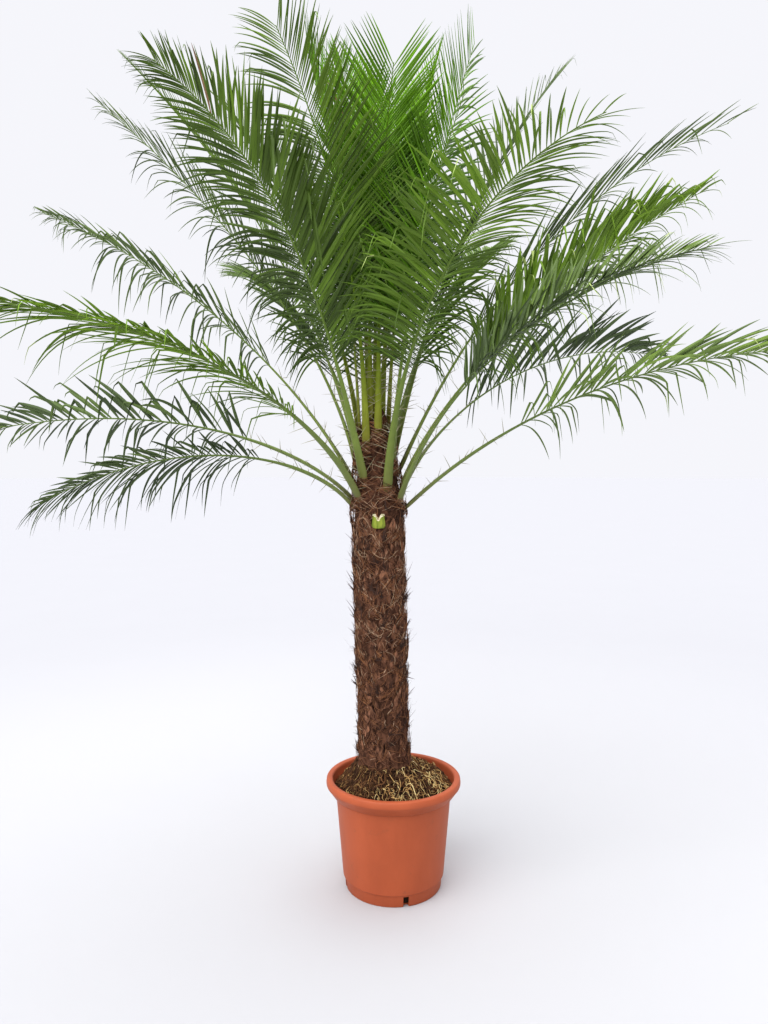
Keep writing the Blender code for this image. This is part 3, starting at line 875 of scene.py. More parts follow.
    def fall(
        self, habit: Habit, weight: Array, heading: Array, blade: Array, chance: Chance
    ) -> tuple[Array, Array]:
        """Work out how leaflets bow down, hook over at the end or are kinked.

        Args:
            habit: The frond's habit.
            weight: How far each bows down, against the habit.
            heading: The way that each leaflet sets out.
            blade: Its place along the blade.
            chance: The source of chance.

        Returns:
            The pull downwards by leaflet and step, which grows with a leaflet's reach to the side, and
            which leaflets are hooked but not kinked.
        """
        count = blade.size
        step = self.steps()
        level = np.sqrt(np.clip(1 - heading[:, 2] ** 2, 0.03, 1.0))
        sag = habit.sag * weight * level * (1.35 - 0.85 * heading[:, 2])
        sag = sag * np.exp(0.38 * habit.loose * chance.normal(0, 1, count).clip(-2, 2))
        sag = sag * (1.5 - 0.7 * blade + habit.droop * np.exp(-((blade / 0.22) ** 2)))
        hooked = chance.random(count) < habit.hooked * (1.3 - 0.6 * blade)
        start = chance.uniform(*self.hook_start, (count, 1))
        hook = chance.uniform(*self.hook_pull, (count, 1)) * np.clip((step - start) / 0.09, 0, 1)
        kinked = chance.random(count) < habit.kinked * 2.6 * (1 - blade)
        start = chance.uniform(*self.kink_start, (count, 1))
        kink = self.kink_pull * np.clip((step - start) / 0.05, 0, 1)
        fall = sag[:, None] * step**1.3 + np.where(hooked[:, None], hook, 0.0)
        return fall + np.where(kinked[:, None], kink, 0.0), hooked & ~kinked

    def frames(
        self, lines: Array, heading: Array, up: Array, turn: Array, chance: Chance
    ) -> tuple[Array, Array]:
        """Carry each leaflet's breadth and face along its line.

        Args:
            lines: The leaflets' middle lines.
            heading: The way that each sets out.
            up: The upper side of the rib at each root.
            turn: How far each is turned about its line.
            chance: The source of chance.

        Returns:
            The breadth and the face at each ring.
        """
        ahead = unit(np.gradient(lines, axis=1))
        normal = unit(up - heading * np.sum(up * heading, axis=1)[:, None])
        across = np.cross(heading, normal)[:, None]
        across = unit(across - ahead * np.sum(across * ahead, axis=2)[..., None])
        face = np.cross(across, ahead)
        face = np.where(np.sum(face[:, :1] * normal[:, None], axis=2)[..., None] < 0, -face, face)
        more = np.radians(chance.normal(0, 16, (turn.size, 1)))
        twist = (turn[:, None] + more * np.linspace(0, 1, self.leaf_rings))[..., None]
        swing, hold = np.sin(twist), np.cos(twist)
        return across * hold + face * swing, face * hold - across * swing

    def clear_of(self, leaflets: Leaflets, trees: Sequence[BVHTree]) -> Array:
        """Tell which leaflets touch none of the trees, past their foot, and stay below the ceiling."""
        clear = []
        rest = slice(self.leaf_foot_rings, None)
        for line, across, half in zip(leaflets.lines, leaflets.across, leaflets.half):
            edge = across[rest] * half
            strip = np.stack((line[rest] + edge, line[rest] - edge), axis=1).reshape(-1, 3)
            tree = BVHTree.FromPolygons(
                strip.tolist(), [(2 * i, 2 * i + 1, 2 * i + 3, 2 * i + 2) for i in range(len(edge) - 1)]
            )
            clear.append(line[:, 2].max() < self.ceiling and not any(tree.overlap(other) for other in trees))
        return np.array(clear)

    def grow(self, frond: Frond, course: Course, seed: int, trees: Sequence[BVHTree]) -> Iterator[Leaflets]:
        """Give the leaflets of a frond that touch no other frond's rib, each in the first form that fits.

        Args:
            frond: The frond.
            course: Its course.
            seed: The seed of its chances.
            trees: The ribs of the other fronds.

        Yields:
            The leaflets that fit in each form.
        """
        hand = np.repeat((1.0, -1.0), frond.habit.pairs)
        missing = np.random.default_rng(seed).random(hand.size) >= self.rows(frond, hand).gaps
        for extra, stretch in self.trials:
            grown = self.leaflets(frond, course, seed, extra, stretch).pick(missing)
            clear = self.clear_of(grown, trees)
            yield grown.pick(clear)
            missing[np.flatnonzero(missing)[clear]] = False
            if not missing.any():
                return

    def blade_rings(self, leaflets: Leaflets) -> Array:
        """Loft leaflets as folded troughs."""
        step = np.linspace(0, 1, self.leaf_rings)[:, None]
        half = leaflets.half[:, None, None] * read_table(self.leaf_outline, step)
        lifted = leaflets.lines + leaflets.face * half * self.leaf_fold * (1.0 - 0.4 * step)
        wide = leaflets.across * half
        keel = leaflets.lines - leaflets.face * self.leaf_thick * (1.0 - 0.8 * step)
        return np.stack((lifted + wide, leaflets.lines, lifted - wide, keel), axis=2)

    def spines(self, course: Course, chance: Chance) -> Array:
        """Grow the spines on the stalk of a frond, and give their rings."""
        count = self.spine_pairs * 2
        share = np.tile(np.linspace(self.spine_first, self.spine_last, self.spine_pairs), 2)
        share = share + chance.normal(0, 0.006, count)
        hand = np.repeat((1.0, -1.0), self.spine_pairs)
        at = course.at(share)
        lean = np.radians(chance.uniform(*self.spine_lean, count))
        heading = at.away(hand, lean, np.radians(chance.normal(10, 28, count)))
        length = self.spine_length * chance.uniform(0.45, 1.2, (count, 1, 1))
        root = at.point + at.side * (hand * read_table(self.rib_half, share) * 0.7)[:, None]
        along = np.linspace(0, 1, len(self.spine_taper))[:, None]
        lines = root[:, None] + heading[:, None] * (along * length) - UP * (along**2 * 0.06) * length
        thick = self.spine_thick * chance.uniform(0.8, 1.2, count)
        return strand_rings(lines, thick, np.array(self.spine_taper))

    def build_leaves(
        self,
        age: Age,
        named: Mapping[str, Frond],
        courses: Mapping[str, Course],
        trees: Mapping[str, BVHTree],
    ) -> None:
        """Make the leaflets of the fronds of an age, sorted by their greens.

        Args:
            age: The age.
            named: Its fronds, by the names of their nodes.
            courses: The course of each frond.
            trees: The rib of each frond, to keep clear of.
        """
        heaps: dict[int, list[Array]] = {}
        for node, frond in named.items():
            others = [tree for other, tree in trees.items() if other != node]
            for grown in self.grow(frond, courses[node], int(node[-2:]), others):
                rings = self.blade_rings(grown)
                for tint in np.unique(grown.tint):
                    heap = heaps.setdefault(int(tint), [])
                    heap.append(rings[(grown.tint == tint) & ~grown.painted_highlight])
                    heap.append(rings[(grown.tint == tint) & grown.painted_highlight, : self.flash_ring + 1])
                # The ends of those leaflets take the painted highlight.
                heaps.setdefault(LEAVES.index(PAINTED_HIGHLIGHT_LEAF), []).append(rings[grown.painted_highlight, self.flash_ring :])
        for tint, stacks in sorted(heaps.items()):
            if any(len(stack) for stack in stacks):
                leaf = LEAVES[tint]
                mesh = mesh_from_stacks(f"{age.name.lower()}_{leaf.name}", stacks, 30)
                add_piece(mesh, named, age.value, leaf.make())

    def build(self) -> None:
        """Make the pieces of every age: ribs, spines and leaflets."""
        chance = np.random.default_rng(11)
        spine = Finish("spine", (0.22, 0.21, 0.12), (0.40, 0.37, 0.24), roughness=0.5).make()
        fronds = {node: frond for _, named in self.ages() for node, frond in named.items()}
        courses = {node: self.course(frond) for node, frond in fronds.items()}
        ribs = {node: self.rib(frond, courses[node]) for node, frond in fronds.items()}
        trees = {node: tree_of(rings) for node, (rings, _) in ribs.items()}
        for (age, named), steps in zip(self.ages(), self.rib_steps):
            word = age.name.lower()
            finish = RibFinish(
                f"rib_{word}", (0.78,) * 3, (1.0,) * 3, scale=60, roughness=0.5, specular=0.3, steps=steps
            )
            rings, shares = zip(*(ribs[node] for node in named))
            add_piece(mesh_from_stacks(f"ribs_{word}", rings, 60, shares), named, age.value, finish.make())
            spines = [self.spines(courses[node], chance) for node in named]
            add_piece(mesh_from_stacks(f"spines_{word}", spines, 80), named, age.value, spine)
            self.build_leaves(age, named, courses, trees)


@dataclass
class Trunk:
    """The trunk: a rough core under torn old leaf bases, woven strands, tufts, slivers and hairs."""

    column: Column = Column()
    segments: int = 120
    rings: int = 340
    bark_waves: tuple[tuple[float, float, float], ...] = (
        (55, 38, 0.0030), (190, 120, 0.0018), (460, 240, 0.00072),
    )
    flaps: int = 78
    flap_turn: float = 137.5
    flap_length: float = 0.052
    flap_half: float = 0.019
    flap_bulge: float = 0.0048
    flap_thick: float = 0.0013
    flap_curl: float = 0.012
    flap_sink: float = 0.0012
    flap_below: float = 0.35
    flap_rows: int = 9
    flap_columns: int = 7
    flap_outline: Table = ((0.0, 0.80), (0.3, 1.0), (0.7, 0.80), (1.0, 0.35))
    weave: int = 40
    weave_lift: Span = (0.0002, 0.0016)
    strands: int = 2600
    strand_length: Span = (0.012, 0.045)
    strand_slant: Span = (8.0, 75.0)
    strand_lift: Span = (0.001, 0.0062)
    strand_thick: float = 0.00036
    strand_taper: tuple[float, ...] = (0.3, 0.9, 1.0, 1.0, 1.0, 0.8, 0.2)
    flap_hairs: int = 8
    hair_thick: float = 0.00028
    hair_rings: int = 6
    tufts: int = 105
    tuft_hairs: int = 9
    tuft_thick: float = 3.2
    tuft_least: float = 0.008
    tuft_growth: float = 0.022
    slivers: int = 260
    sliver_length: Span = (0.006, 0.016)
    sliver_thick: Span = (0.0004, 0.0007)
    sliver_lift: Span = (0.002, 0.006)
    sliver_taper: tuple[float, ...] = (0.15, 0.9, 1.0, 0.7, 0.10)
    sleeve: int = 60
    sleeve_top: float = 0.93
    sleeve_length: Span = (0.010, 0.036)
    sleeve_half: float = 0.016
    sleeve_lift: Span = (0.0085, 0.0115)
    middle_radius: float = 0.048
    darker_below: float = 0.56
    fibres: tuple[tuple[float, Finish], ...] = tuple(
        (share, Finish(f"fibre_{name}", dark, light, 90, 1, 2.4, 0.9, specular=0.15))
        for share, name, dark, light in (
            (0.30, "dark", (0.034, 0.016, 0.011), (0.080, 0.040, 0.026)),
            (0.34, "brown", (0.160, 0.076, 0.047), (0.250, 0.130, 0.082)),
            (0.25, "russet", (0.240, 0.108, 0.052), (0.350, 0.172, 0.082)),
            (0.11, "tan", (0.380, 0.255, 0.165), (0.580, 0.430, 0.290)),
        )
    )

    def relief(self, spot: Vector) -> float:
        """The height of the bark over its plain outline at a place, in waves that are finer across."""
        return sum(
            depth * noise.noise(Vector((spot.x * across, spot.y * across, spot.z * up)))
            for across, up, depth in self.bark_waves
        )

    def core(self) -> bpy.types.Mesh:
        """Draw the core up in rings and work its relief into it."""
        bm = bmesh.new()
        heights = np.linspace(self.column.foot, self.column.tip, self.rings)
        verts = bmesh.ops.create_circle(bm, cap_ends=True, segments=self.segments, radius=1.0)["verts"]
        edges = list(bm.edges)
        rows = [{vert: math.atan2(vert.co.y, vert.co.x) for vert in verts}]
        for _ in heights[1:]:
            drawn = bmesh.ops.extrude_edge_only(bm, edges=edges)["geom"]
            verts = [g for g in drawn if isinstance(g, bmesh.types.BMVert)]
            edges = [g for g in drawn if isinstance(g, bmesh.types.BMEdge)]
            rows.append({vert: math.atan2(vert.co.y, vert.co.x) for vert in verts})
        for height, row in zip(heights, rows):
            plain = self.column.spot(np.array(list(row.values())), np.full(len(row), height))
            middle = self.column.centre(height)
            for vert, spot in zip(row, plain):
                lift = self.relief(Vector(spot)) if height > self.column.foot + 0.004 else 0.0
                vert.co = Vector(spot + unit(spot - middle) * lift)
        bmesh.ops.holes_fill(bm, edges=[e for e in bm.edges if e.is_boundary], sides=0)
        return mesh_from_bmesh("trunk_core", bm, 70)

    def set_flaps(self, chance: Chance) -> dict[str, Array]:
        """Choose where the old leaf bases stand on their spiral, and how each is torn.

        Args:
            chance: The source of chance.

        Returns:
            Their turns, heights, lengths, half breadths, bulges, curls, slants and phases.
        """
        index = np.arange(self.flaps)
        low, high = self.column.foot + 0.016, self.column.bark_top - 0.006
        height = low + (high - low) * (index + 0.5) / self.flaps
        return {
            "turn": np.radians(index * self.flap_turn) + chance.normal(0, 0.10, self.flaps),
            "height": height + chance.normal(0, 0.003, self.flaps),
            "length": self.flap_length * chance.uniform(0.75, 1.30, self.flaps),
            "half": self.flap_half * chance.uniform(0.80, 1.20, self.flaps),
            "bulge": self.flap_bulge * chance.uniform(0.55, 1.25, self.flaps),
            "curl": self.flap_curl * chance.random(self.flaps) ** 1.6,
            "slant": chance.normal(0, 0.12, self.flaps),
            "phase": chance.uniform(0, FULL_TURN, self.flaps),
        }

    def on_flaps(self, flaps: dict[str, Array], which: Array, up: Array, wide: Array, lift: Array) -> Array:
        """Find places on old leaf bases.

        Args:
            flaps: The leaf bases.
            which: The number of the leaf base for each item.
            up: How far up it each place is, from 0 to 1, by item and place.
            wide: How far across it, from -1 to 1.
            lift: How far off its face.

        Returns:
            The points, by item, place and axis.
        """
        of = {name: values[which].reshape(-1, *(1,) * (up.ndim - 1)) for name, values in flaps.items()}
        torn = 0.12 * np.sin(5 * wide + of["phase"]) + 0.08 * np.sin(11 * wide + 2.3 * of["phase"])
        height = of["height"] + of["length"] * (up * (1 + up**2 * torn) - self.flap_below)
        height = np.clip(height, self.column.foot + 0.001, self.column.tip)
        breadth = wide * read_table(self.flap_outline, up) * of["half"] / self.column.radius(height)
        hump = np.sin(math.pi * np.minimum(1.1 * up, 1.0)) ** 0.7 * (1 - 0.55 * wide**2)
        off = -self.flap_sink + of["bulge"] * hump + of["curl"] * up**3 + lift
        return self.column.spot(of["turn"] + of["slant"] * up + breadth, height, off)

    def flap_rings(self, flaps: dict[str, Array]) -> Array:
        """Loft the old leaf bases as thin closed shells with torn tops."""
        across = np.linspace(-1, 1, self.flap_columns)
        shape = (self.flaps, self.flap_rows, 2 * self.flap_columns)
        wide = np.broadcast_to(np.concatenate((across, across[::-1])), shape)
        rise = np.broadcast_to(np.linspace(0.0, 1.0, self.flap_rows)[:, None], shape)
        under = np.repeat((0.0, -self.flap_thick), self.flap_columns)
        return self.on_flaps(flaps, np.arange(self.flaps), rise, wide, under * (1 - 0.6 * rise))

    def weave_lines(self, flaps: dict[str, Array], chance: Chance) -> Array:
        """Lay strands slantwise over each old leaf base, from one side up to the other."""
        each = (self.flaps * self.weave, 1)
        along = np.linspace(0, 1, len(self.strand_taper))
        side = chance.choice((-1.0, 1.0), each)
        first = side * chance.uniform(0.5, 1.15, each)
        last = -side * chance.uniform(-0.2, 1.1, each)
        low = chance.uniform(-0.05, 0.45, each)
        high = low + chance.uniform(0.25, 0.75, each)
        wide = first + (last - first) * along + 0.10 * np.sin(along * 5 + side * 3 + low * 40)
        up = np.clip(low + (high - low) * along, 0.0, 1.12)
        lift = chance.uniform(*self.weave_lift, each) + 0.0016 * chance.random(each) * along**3
        return self.on_flaps(flaps, np.repeat(np.arange(self.flaps), self.weave), up, wide, lift)

    def strand_lines(self, chance: Chance) -> Array:
        """Lay loose fibres all over the trunk, most of them slanting."""
        each = (self.strands, 1)
        low, high = self.column.foot, self.sleeve_top
        turn = chance.uniform(0, FULL_TURN, each)
        height = chance.uniform(low, high, each)
        slant = np.radians(chance.choice((-1, 1), each) * chance.uniform(*self.strand_slant, each))
        length = chance.uniform(*self.strand_length, each)
        along = np.linspace(-0.5, 0.5, len(self.strand_taper))
        path = slant + chance.normal(0, 0.9, each) * along
        turns = turn + np.sin(path) * along * length / self.column.radius(height)
        heights = np.clip(height + np.cos(path) * along * length, low + 0.002, self.column.tip - 0.002)
        flick = chance.uniform(-0.3, 1.0, each) * 0.0036 * (along + 0.5) ** 2
        return self.column.spot(turns, heights, chance.uniform(*self.strand_lift, each) + flick)

    def sleeve_lines(self, chance: Chance) -> Array:
        """Wrap fibres across the feet of the fronds."""
        fronds = [frond for _, named in Crown().ages() for frond in named.values()]
        azimuth = np.repeat(np.radians([frond.azimuth for frond in fronds]), self.sleeve)[:, None]
        base = np.repeat([frond.height for frond in fronds], self.sleeve)[:, None]
        each = azimuth.shape
        along = np.linspace(-0.5, 0.5, len(self.strand_taper))
        radius = self.column.radius(base)
        reach = chance.uniform(*self.sleeve_length, each)
        side = chance.choice((-1.0, 1.0), each)
        turns = azimuth + chance.normal(0, 0.16, each) + side * along * reach / radius
        climb = chance.uniform(0.1, 1.0, each) * reach * along
        heights = base + chance.uniform(-0.012, 0.016, each) + climb
        off = np.cos((turns - azimuth) * radius / self.sleeve_half).clip(0.0, 1.0)
        lift = 0.0015 + chance.uniform(*self.sleeve_lift, each) * off
        return self.column.spot(turns, np.minimum(heights, self.sleeve_top), lift)

    def hair_lines(self, flaps: dict[str, Array], chance: Chance) -> Array:
        """Stand loose ends of fibre on the torn tops of the old leaf bases."""
        each = (self.flaps * self.flap_hairs, 1)
        along = np.linspace(0, 1, self.hair_rings)
        wide = chance.uniform(-1, 1, each) + chance.normal(0, 0.25, each) * along
        reach = chance.uniform(0.08, 0.42, each)
        up = chance.uniform(0.75, 0.98, each) + reach * along
        lift = (0.001 + 0.010 * chance.random(each) ** 1.8) * along**1.4
        return self.on_flaps(flaps, np.repeat(np.arange(self.flaps), self.flap_hairs), up, wide, lift)

    def tuft_lines(self, chance: Chance) -> Array:
        """Stand stiff tufts out of the bark, so that its outline is ragged."""
        low, high = self.column.foot + 0.02, self.column.bark_top + 0.02
        turn = np.repeat(chance.uniform(0, FULL_TURN, self.tufts), self.tuft_hairs)[:, None]
        height = np.repeat(chance.uniform(low, high, self.tufts), self.tuft_hairs)[:, None]
        each = turn.shape
        length = self.tuft_least + self.tuft_growth * chance.random(each) ** 1.6
        along = np.linspace(0, 1, self.hair_rings)
        climb = chance.normal(0.75, 0.45, each) * length * along
        swing = chance.normal(0, 0.35, each) * length * along / self.middle_radius
        lift = 0.002 + length * chance.uniform(0.25, 0.75, each) * along**1.2
        return self.column.spot(turn + chance.normal(0, 0.05, each) + swing, height + climb, lift)

    def sliver_rings(self, chance: Chance) -> Array:
        """Lay pale slivers of old leaf base among the fibres."""
        each = (self.slivers, 1)
        turn = chance.uniform(0, FULL_TURN, each)
        height = chance.uniform(self.column.foot + 0.01, self.column.bark_top, each)
        along = np.linspace(-0.5, 0.5, len(self.sliver_taper))
        length = chance.uniform(*self.sliver_length, each)
        tilt = chance.normal(0, 0.5, each)
        turns = turn + np.sin(tilt) * along * length / self.middle_radius
        lift = chance.uniform(*self.sliver_lift, each) + 0.002 * along
        lines = self.column.spot(turns, height + np.cos(tilt) * along * length, lift)
        thick = chance.uniform(*self.sliver_thick, self.slivers)
        return strand_rings(lines, thick, np.array(self.sliver_taper), 4)

    def deal(self, stacks: Sequence[Array], chance: Chance) -> None:
        """Deal strands out among the shades of fibre, the darker ones more often low on the trunk."""
        heaps: list[list[Array]] = [[] for _ in self.fibres]
        limits = np.cumsum([share for share, _ in self.fibres])[:-1]
        for rings in stacks:
            high = (rings[:, 0, 0, 2] - self.column.foot) / (self.column.bark_top - self.column.foot)
            draw = chance.random(len(rings)) - self.darker_below * np.maximum(0.5 - high, 0.0)
            shade = np.searchsorted(limits, np.clip(draw, 0.0, 0.999))
            for number, heap in enumerate(heaps):
                heap.append(rings[shade == number])
        for (_, fibre), heap in zip(self.fibres, heaps):
            self.add(mesh_from_stacks(fibre.name, heap, 80), fibre)

    def add(self, mesh: bpy.types.Mesh, finish: Finish) -> None:
        """Put a piece of the trunk in the scene."""
        add_piece(mesh, ["trunk"], "trunk_fibre", finish.make())

    def build(self) -> None:
        """Make the trunk's pieces."""
        chance = np.random.default_rng(5)
        bark = Finish(
            "bark", (0.035, 0.017, 0.011), (0.170, 0.082, 0.050), 120, 0.5, 3.2,
            roughness=0.95, relief=0.002, relief_scale=420, specular=0.15,
        )
        base = Finish(
            "leaf_base", (0.034, 0.016, 0.011), (0.300, 0.150, 0.090), 130, 0.3, 4.8,
            roughness=0.92, relief=0.0012, relief_scale=500, specular=0.15,
        )
        sliver = Finish(
            "sliver", (0.340, 0.220, 0.140), (0.540, 0.400, 0.280), 90, roughness=0.85, specular=0.2
        )
        hair = Finish("hair", (0.030, 0.016, 0.012), (0.105, 0.056, 0.038), roughness=0.9)
        self.add(self.core(), bark)
        flaps = self.set_flaps(chance)
        self.add(mesh_from_stacks("leaf_bases", [self.flap_rings(flaps)], 50), base)
        stacks = []
        for lines in (self.weave_lines(flaps, chance), self.strand_lines(chance), self.sleeve_lines(chance)):
            thick = self.strand_thick * chance.uniform(0.6, 1.5, len(lines))
            stacks.append(strand_rings(lines, thick, np.array(self.strand_taper)))
        self.deal(stacks, chance)
        self.add(mesh_from_stacks("slivers", [self.sliver_rings(chance)], 60), sliver)
        loose = []
        for lines, thick in (
            (self.hair_lines(flaps, chance), self.hair_thick),
            (self.tuft_lines(chance), self.hair_thick * self.tuft_thick),
        ):
            thick = thick * chance.uniform(0.7, 1.5, len(lines))
            loose.append(strand_rings(lines, thick, np.linspace(1.0, 0.15, self.hair_rings)))
        self.add(mesh_from_stacks("trunk_hairs", loose, 80), hair)


@dataclass
class Pot:
    """The pot: one turned shell with a rolled band, a ledge, a foot step and four drain notches."""

    floor: float = 0.0045
    steps: int = 160
    inside: Table = (
        (0.0925, 0.0045), (0.0950, 0.0200), (0.0985, 0.0260), (0.1100, 0.1800),
        (0.1115, 0.1890), (0.1190, 0.1965), (0.1210, 0.2150),
    )
    lip: Table = (
        (0.1218, 0.2185), (0.1232, 0.2202), (0.1250, 0.2208), (0.1305, 0.2210),
        (0.1328, 0.2202), (0.1342, 0.2182), (0.1350, 0.2120),
    )
    band: Table = (
        (0.1347, 0.2085), (0.1341, 0.2068), (0.1330, 0.2056),
        (0.1222, 0.1903), (0.1200, 0.1888), (0.1180, 0.1881),
    )
    wall: Table = (
        (0.1156, 0.1874), (0.1150, 0.1855), (0.1017, 0.0262), (0.1013, 0.0246), (0.1004, 0.0236),
        (0.0986, 0.0228), (0.0979, 0.0216), (0.0964, 0.0014), (0.0954, 0.0),
    )
    notches: int = 4
    notch_turn: float = 14.0
    notch_width: float = 0.011
    notch_height: float = 0.020
    notch_reach: float = 0.030
    sharp: float = 50.0

    def cutter(self) -> bpy.types.Mesh:
        """Make the blocks that cut the drain notches."""
        bm = bmesh.new()
        for index in range(self.notches):
            turn = Matrix.Rotation(math.radians(self.notch_turn + 360 * index / self.notches), 3, "Z")
            block = bmesh.ops.create_cube(bm, size=1.0)["verts"]
            bmesh.ops.scale(bm, vec=(self.notch_reach, self.notch_width, 2 * self.notch_height), verts=block)
            bmesh.ops.translate(bm, vec=(self.wall[-1][0] + self.notch_reach / 4, 0, 0), verts=block)
            bmesh.ops.rotate(bm, cent=(0, 0, 0), matrix=turn, verts=block)
        return mesh_from_bmesh("notch_cutter", bm)

    def build(self) -> None:
        """Make the pot: a turned shell with the notches cut through its foot."""
        profile = ((0.0, self.floor), *self.inside, *self.lip, *self.band, *self.wall, (0.0, 0.0))
        shell = add_object("pot_shell", mesh_from_bmesh("pot_shell", turned(profile, self.steps), self.sharp))
        cutter = add_object("notch_cutter", self.cutter())
        cut = shell.modifiers.new("Notches", "BOOLEAN")
        cut.operation = "DIFFERENCE"
        cut.object = cutter
        mesh = bpy.data.meshes.new_from_object(shell.evaluated_get(bpy.context.evaluated_depsgraph_get()))
        for scrap in (shell, cutter):
            bpy.data.objects.remove(scrap)
        mesh.name = "pot_moulding"
        mesh.materials.clear()
        finish = PotFinish(
            "pot_plastic", (0.370, 0.090, 0.037), (0.440, 0.108, 0.044), 18, 0.4, 2.2,
            roughness=0.52, relief=0.0004, relief_scale=60, specular=0.28,
        )
        add_piece(soften(mesh, self.sharp), ["pot"], "pot_plastic", finish.make())


@dataclass
class RootBall:
    """The root ball: a lumpy mound in the pot, with clods and a mat of curly roots on it."""

    pot: Pot = field(default_factory=Pot)
    column: Column = Column()
    clearance: float = 0.0007
    steps: int = 120
    rings: int = 60
    mound: Table = (
        (0.0, 0.2357), (0.030, 0.2357), (0.045, 0.2357), (0.058, 0.2357),
        (0.072, 0.2335), (0.090, 0.2230), (0.108, 0.2070), (0.1186, 0.1990),
    )
    lump: float = 0.0046
    lump_waves: tuple[tuple[float, float, float], ...] = ((42, 3.0, 0.7), (150, 9.0, 0.4))
    lump_sink: float = 0.35
    scatter_reach: float = 0.116
    clods: int = 500
    clod_least: float = 0.0012
    clod_growth: float = 0.0036
    clod_inner: float = 0.050
    roots: int = 1500
    root_thick: float = 0.00052
    root_growth: float = 0.032
    root_hoop: float = 0.006
    thick_roots: int = 260
    thick_root: float = 0.00085
    thick_growth: float = 0.040
    thick_hoop: float = 0.010
    root_least: float = 0.008
    root_inner: float = 0.052
    root_rings: int = 12
    root_taper: Table = ((0.0, 0.4), (0.15, 1.0), (0.8, 0.9), (1.0, 0.25))
    root_shades: tuple[tuple[float, Finish], ...] = tuple(
        (limit, Finish(f"root_{name}", dark, light, roughness=rough, specular=0.2))
        for limit, name, dark, light, rough in (
            (0.36, "dark", (0.060, 0.030, 0.016), (0.120, 0.062, 0.032), 0.8),
            (0.68, "olive", (0.135, 0.064, 0.029), (0.225, 0.112, 0.048), 0.8),
            (0.90, "straw", (0.410, 0.252, 0.095), (0.590, 0.400, 0.170), 0.7),
            (1.01, "pale", (0.580, 0.450, 0.200), (0.760, 0.630, 0.340), 0.7),
        )
    )
    collar: float = 0.016
    collar_radius: float = 0.057
    collar_half: float = 0.010
    dark_left: float = -0.045
    mat_at: tuple[float, float] = (0.092, -0.040)
    mat_radius: float = 0.030

    def height(self, x: Array | float, y: Array | float) -> Array:
        """The mound's height at a place, with a collar of soil round the foot of the trunk."""
        foot = self.column.centre(self.column.foot)
        off = np.hypot(np.asarray(x) - foot[0], np.asarray(y) - foot[1])
        swell = self.collar * np.exp(-(((off - self.collar_radius) / self.collar_half) ** 2))
        return read_table(self.mound, np.hypot(x, y)) + swell

    def lumps(self, x: float, y: float) -> float:
        """The lumps on the mound at a place."""
        waves = sum(
            depth * noise.noise(Vector((x * often, y * often, cut))) for often, cut, depth in self.lump_waves
        )
        return self.lump * (waves - self.lump_sink)

    def ball(self) -> bpy.types.Mesh:
        """Turn the root ball and work the lumps into its top."""
        radii = np.linspace(0.0, self.mound[-1][0], self.rings)
        top = [(float(r), float(read_table(self.mound, r))) for r in radii]
        sides = [(r - self.clearance, h) for r, h in reversed(self.pot.inside[1:-1])]
        foot = (self.pot.inside[0][0] - self.clearance, self.pot.floor + self.clearance)
        bm = turned((*top, *sides, foot, (0.0, foot[1])), self.steps)
        for vert in bm.verts:
            if vert.co.z > self.mound[-1][1] - 0.0005:
                vert.co.z = float(self.height(vert.co.x, vert.co.y)) + self.lumps(vert.co.x, vert.co.y)
        return mesh_from_bmesh("soil", bm, 70)

    def scatter(self, chance: Chance, count: int, inner: float) -> tuple[Array, Array]:
        """Scatter places on the mound, in polar terms: a radius and a turn each."""
        radius = np.sqrt(chance.uniform(inner**2, self.scatter_reach**2, (count, 1)))
        return radius, chance.uniform(0, FULL_TURN, (count, 1))

    def clod_mesh(self, chance: Chance) -> bpy.types.Mesh:
        """Scatter clods and chips of bark on the mound."""
        bm = bmesh.new()
        for far, angle in np.hstack(self.scatter(chance, self.clods, self.clod_inner)).tolist():
            x, y = far * math.cos(angle), far * math.sin(angle)
            size = self.clod_least + self.clod_growth * chance.random() ** 2
            lump = bmesh.ops.create_icosphere(bm, subdivisions=1, radius=1.0)["verts"]
            spot = Vector((x, y, float(self.height(x, y)) + size * 0.10))
            bmesh.ops.scale(bm, vec=Vector(chance.uniform(0.6, 1.3, 3)) * size, verts=lump)
            bmesh.ops.rotate(bm, matrix=Matrix.Rotation(angle * 7, 3, "Z"), verts=lump)
            for vert in lump:
                vert.co += Vector(chance.normal(0, 0.16, 3)) * size
            bmesh.ops.translate(bm, vec=spot, verts=lump)
        return mesh_from_bmesh("clods", bm, 30)

    def root_lines(self, chance: Chance, count: int, growth: float, hoops: float) -> Array:
        """Lay curly roots over the mound.

        Args:
            chance: The source of chance.
            count: How many.
            growth: How much longer the longest is than the shortest.
            hoops: How high they arch off the soil.

        Returns:
            Their middle lines.
        """
        each = (count, 1)
        radius, turn = self.scatter(chance, count, self.root_inner)
        length = self.root_least + growth * chance.random(each) ** 1.6
        heading = chance.uniform(0, FULL_TURN, each)
        wind = chance.normal(0, 1.9, each)
        along = np.linspace(-0.5, 0.5, self.root_rings)
        wave = chance.uniform(0.2, 1.1, each)
        wave = wave * np.sin(np.linspace(0, 1, self.root_rings) * chance.uniform(4, 12, each) + heading * 3)
        way = heading + wind * along + wave
        hop = length / (self.root_rings - 1)
        x = radius * np.cos(turn) + np.cumsum(np.cos(way) * hop, axis=1)
        y = radius * np.sin(turn) + np.cumsum(np.sin(way) * hop, axis=1)
        squeeze = np.minimum(1.0, (self.mound[-1][0] - 0.001) / np.maximum(np.hypot(x, y), 1e-6))
        x, y = x * squeeze, y * squeeze
        hoop = hoops * chance.random(each) ** 1.5 * np.cos(along * math.pi)
        return np.stack((x, y, self.height(x, y) + hoop + chance.uniform(-0.0015, 0.0015, each)), axis=-1)

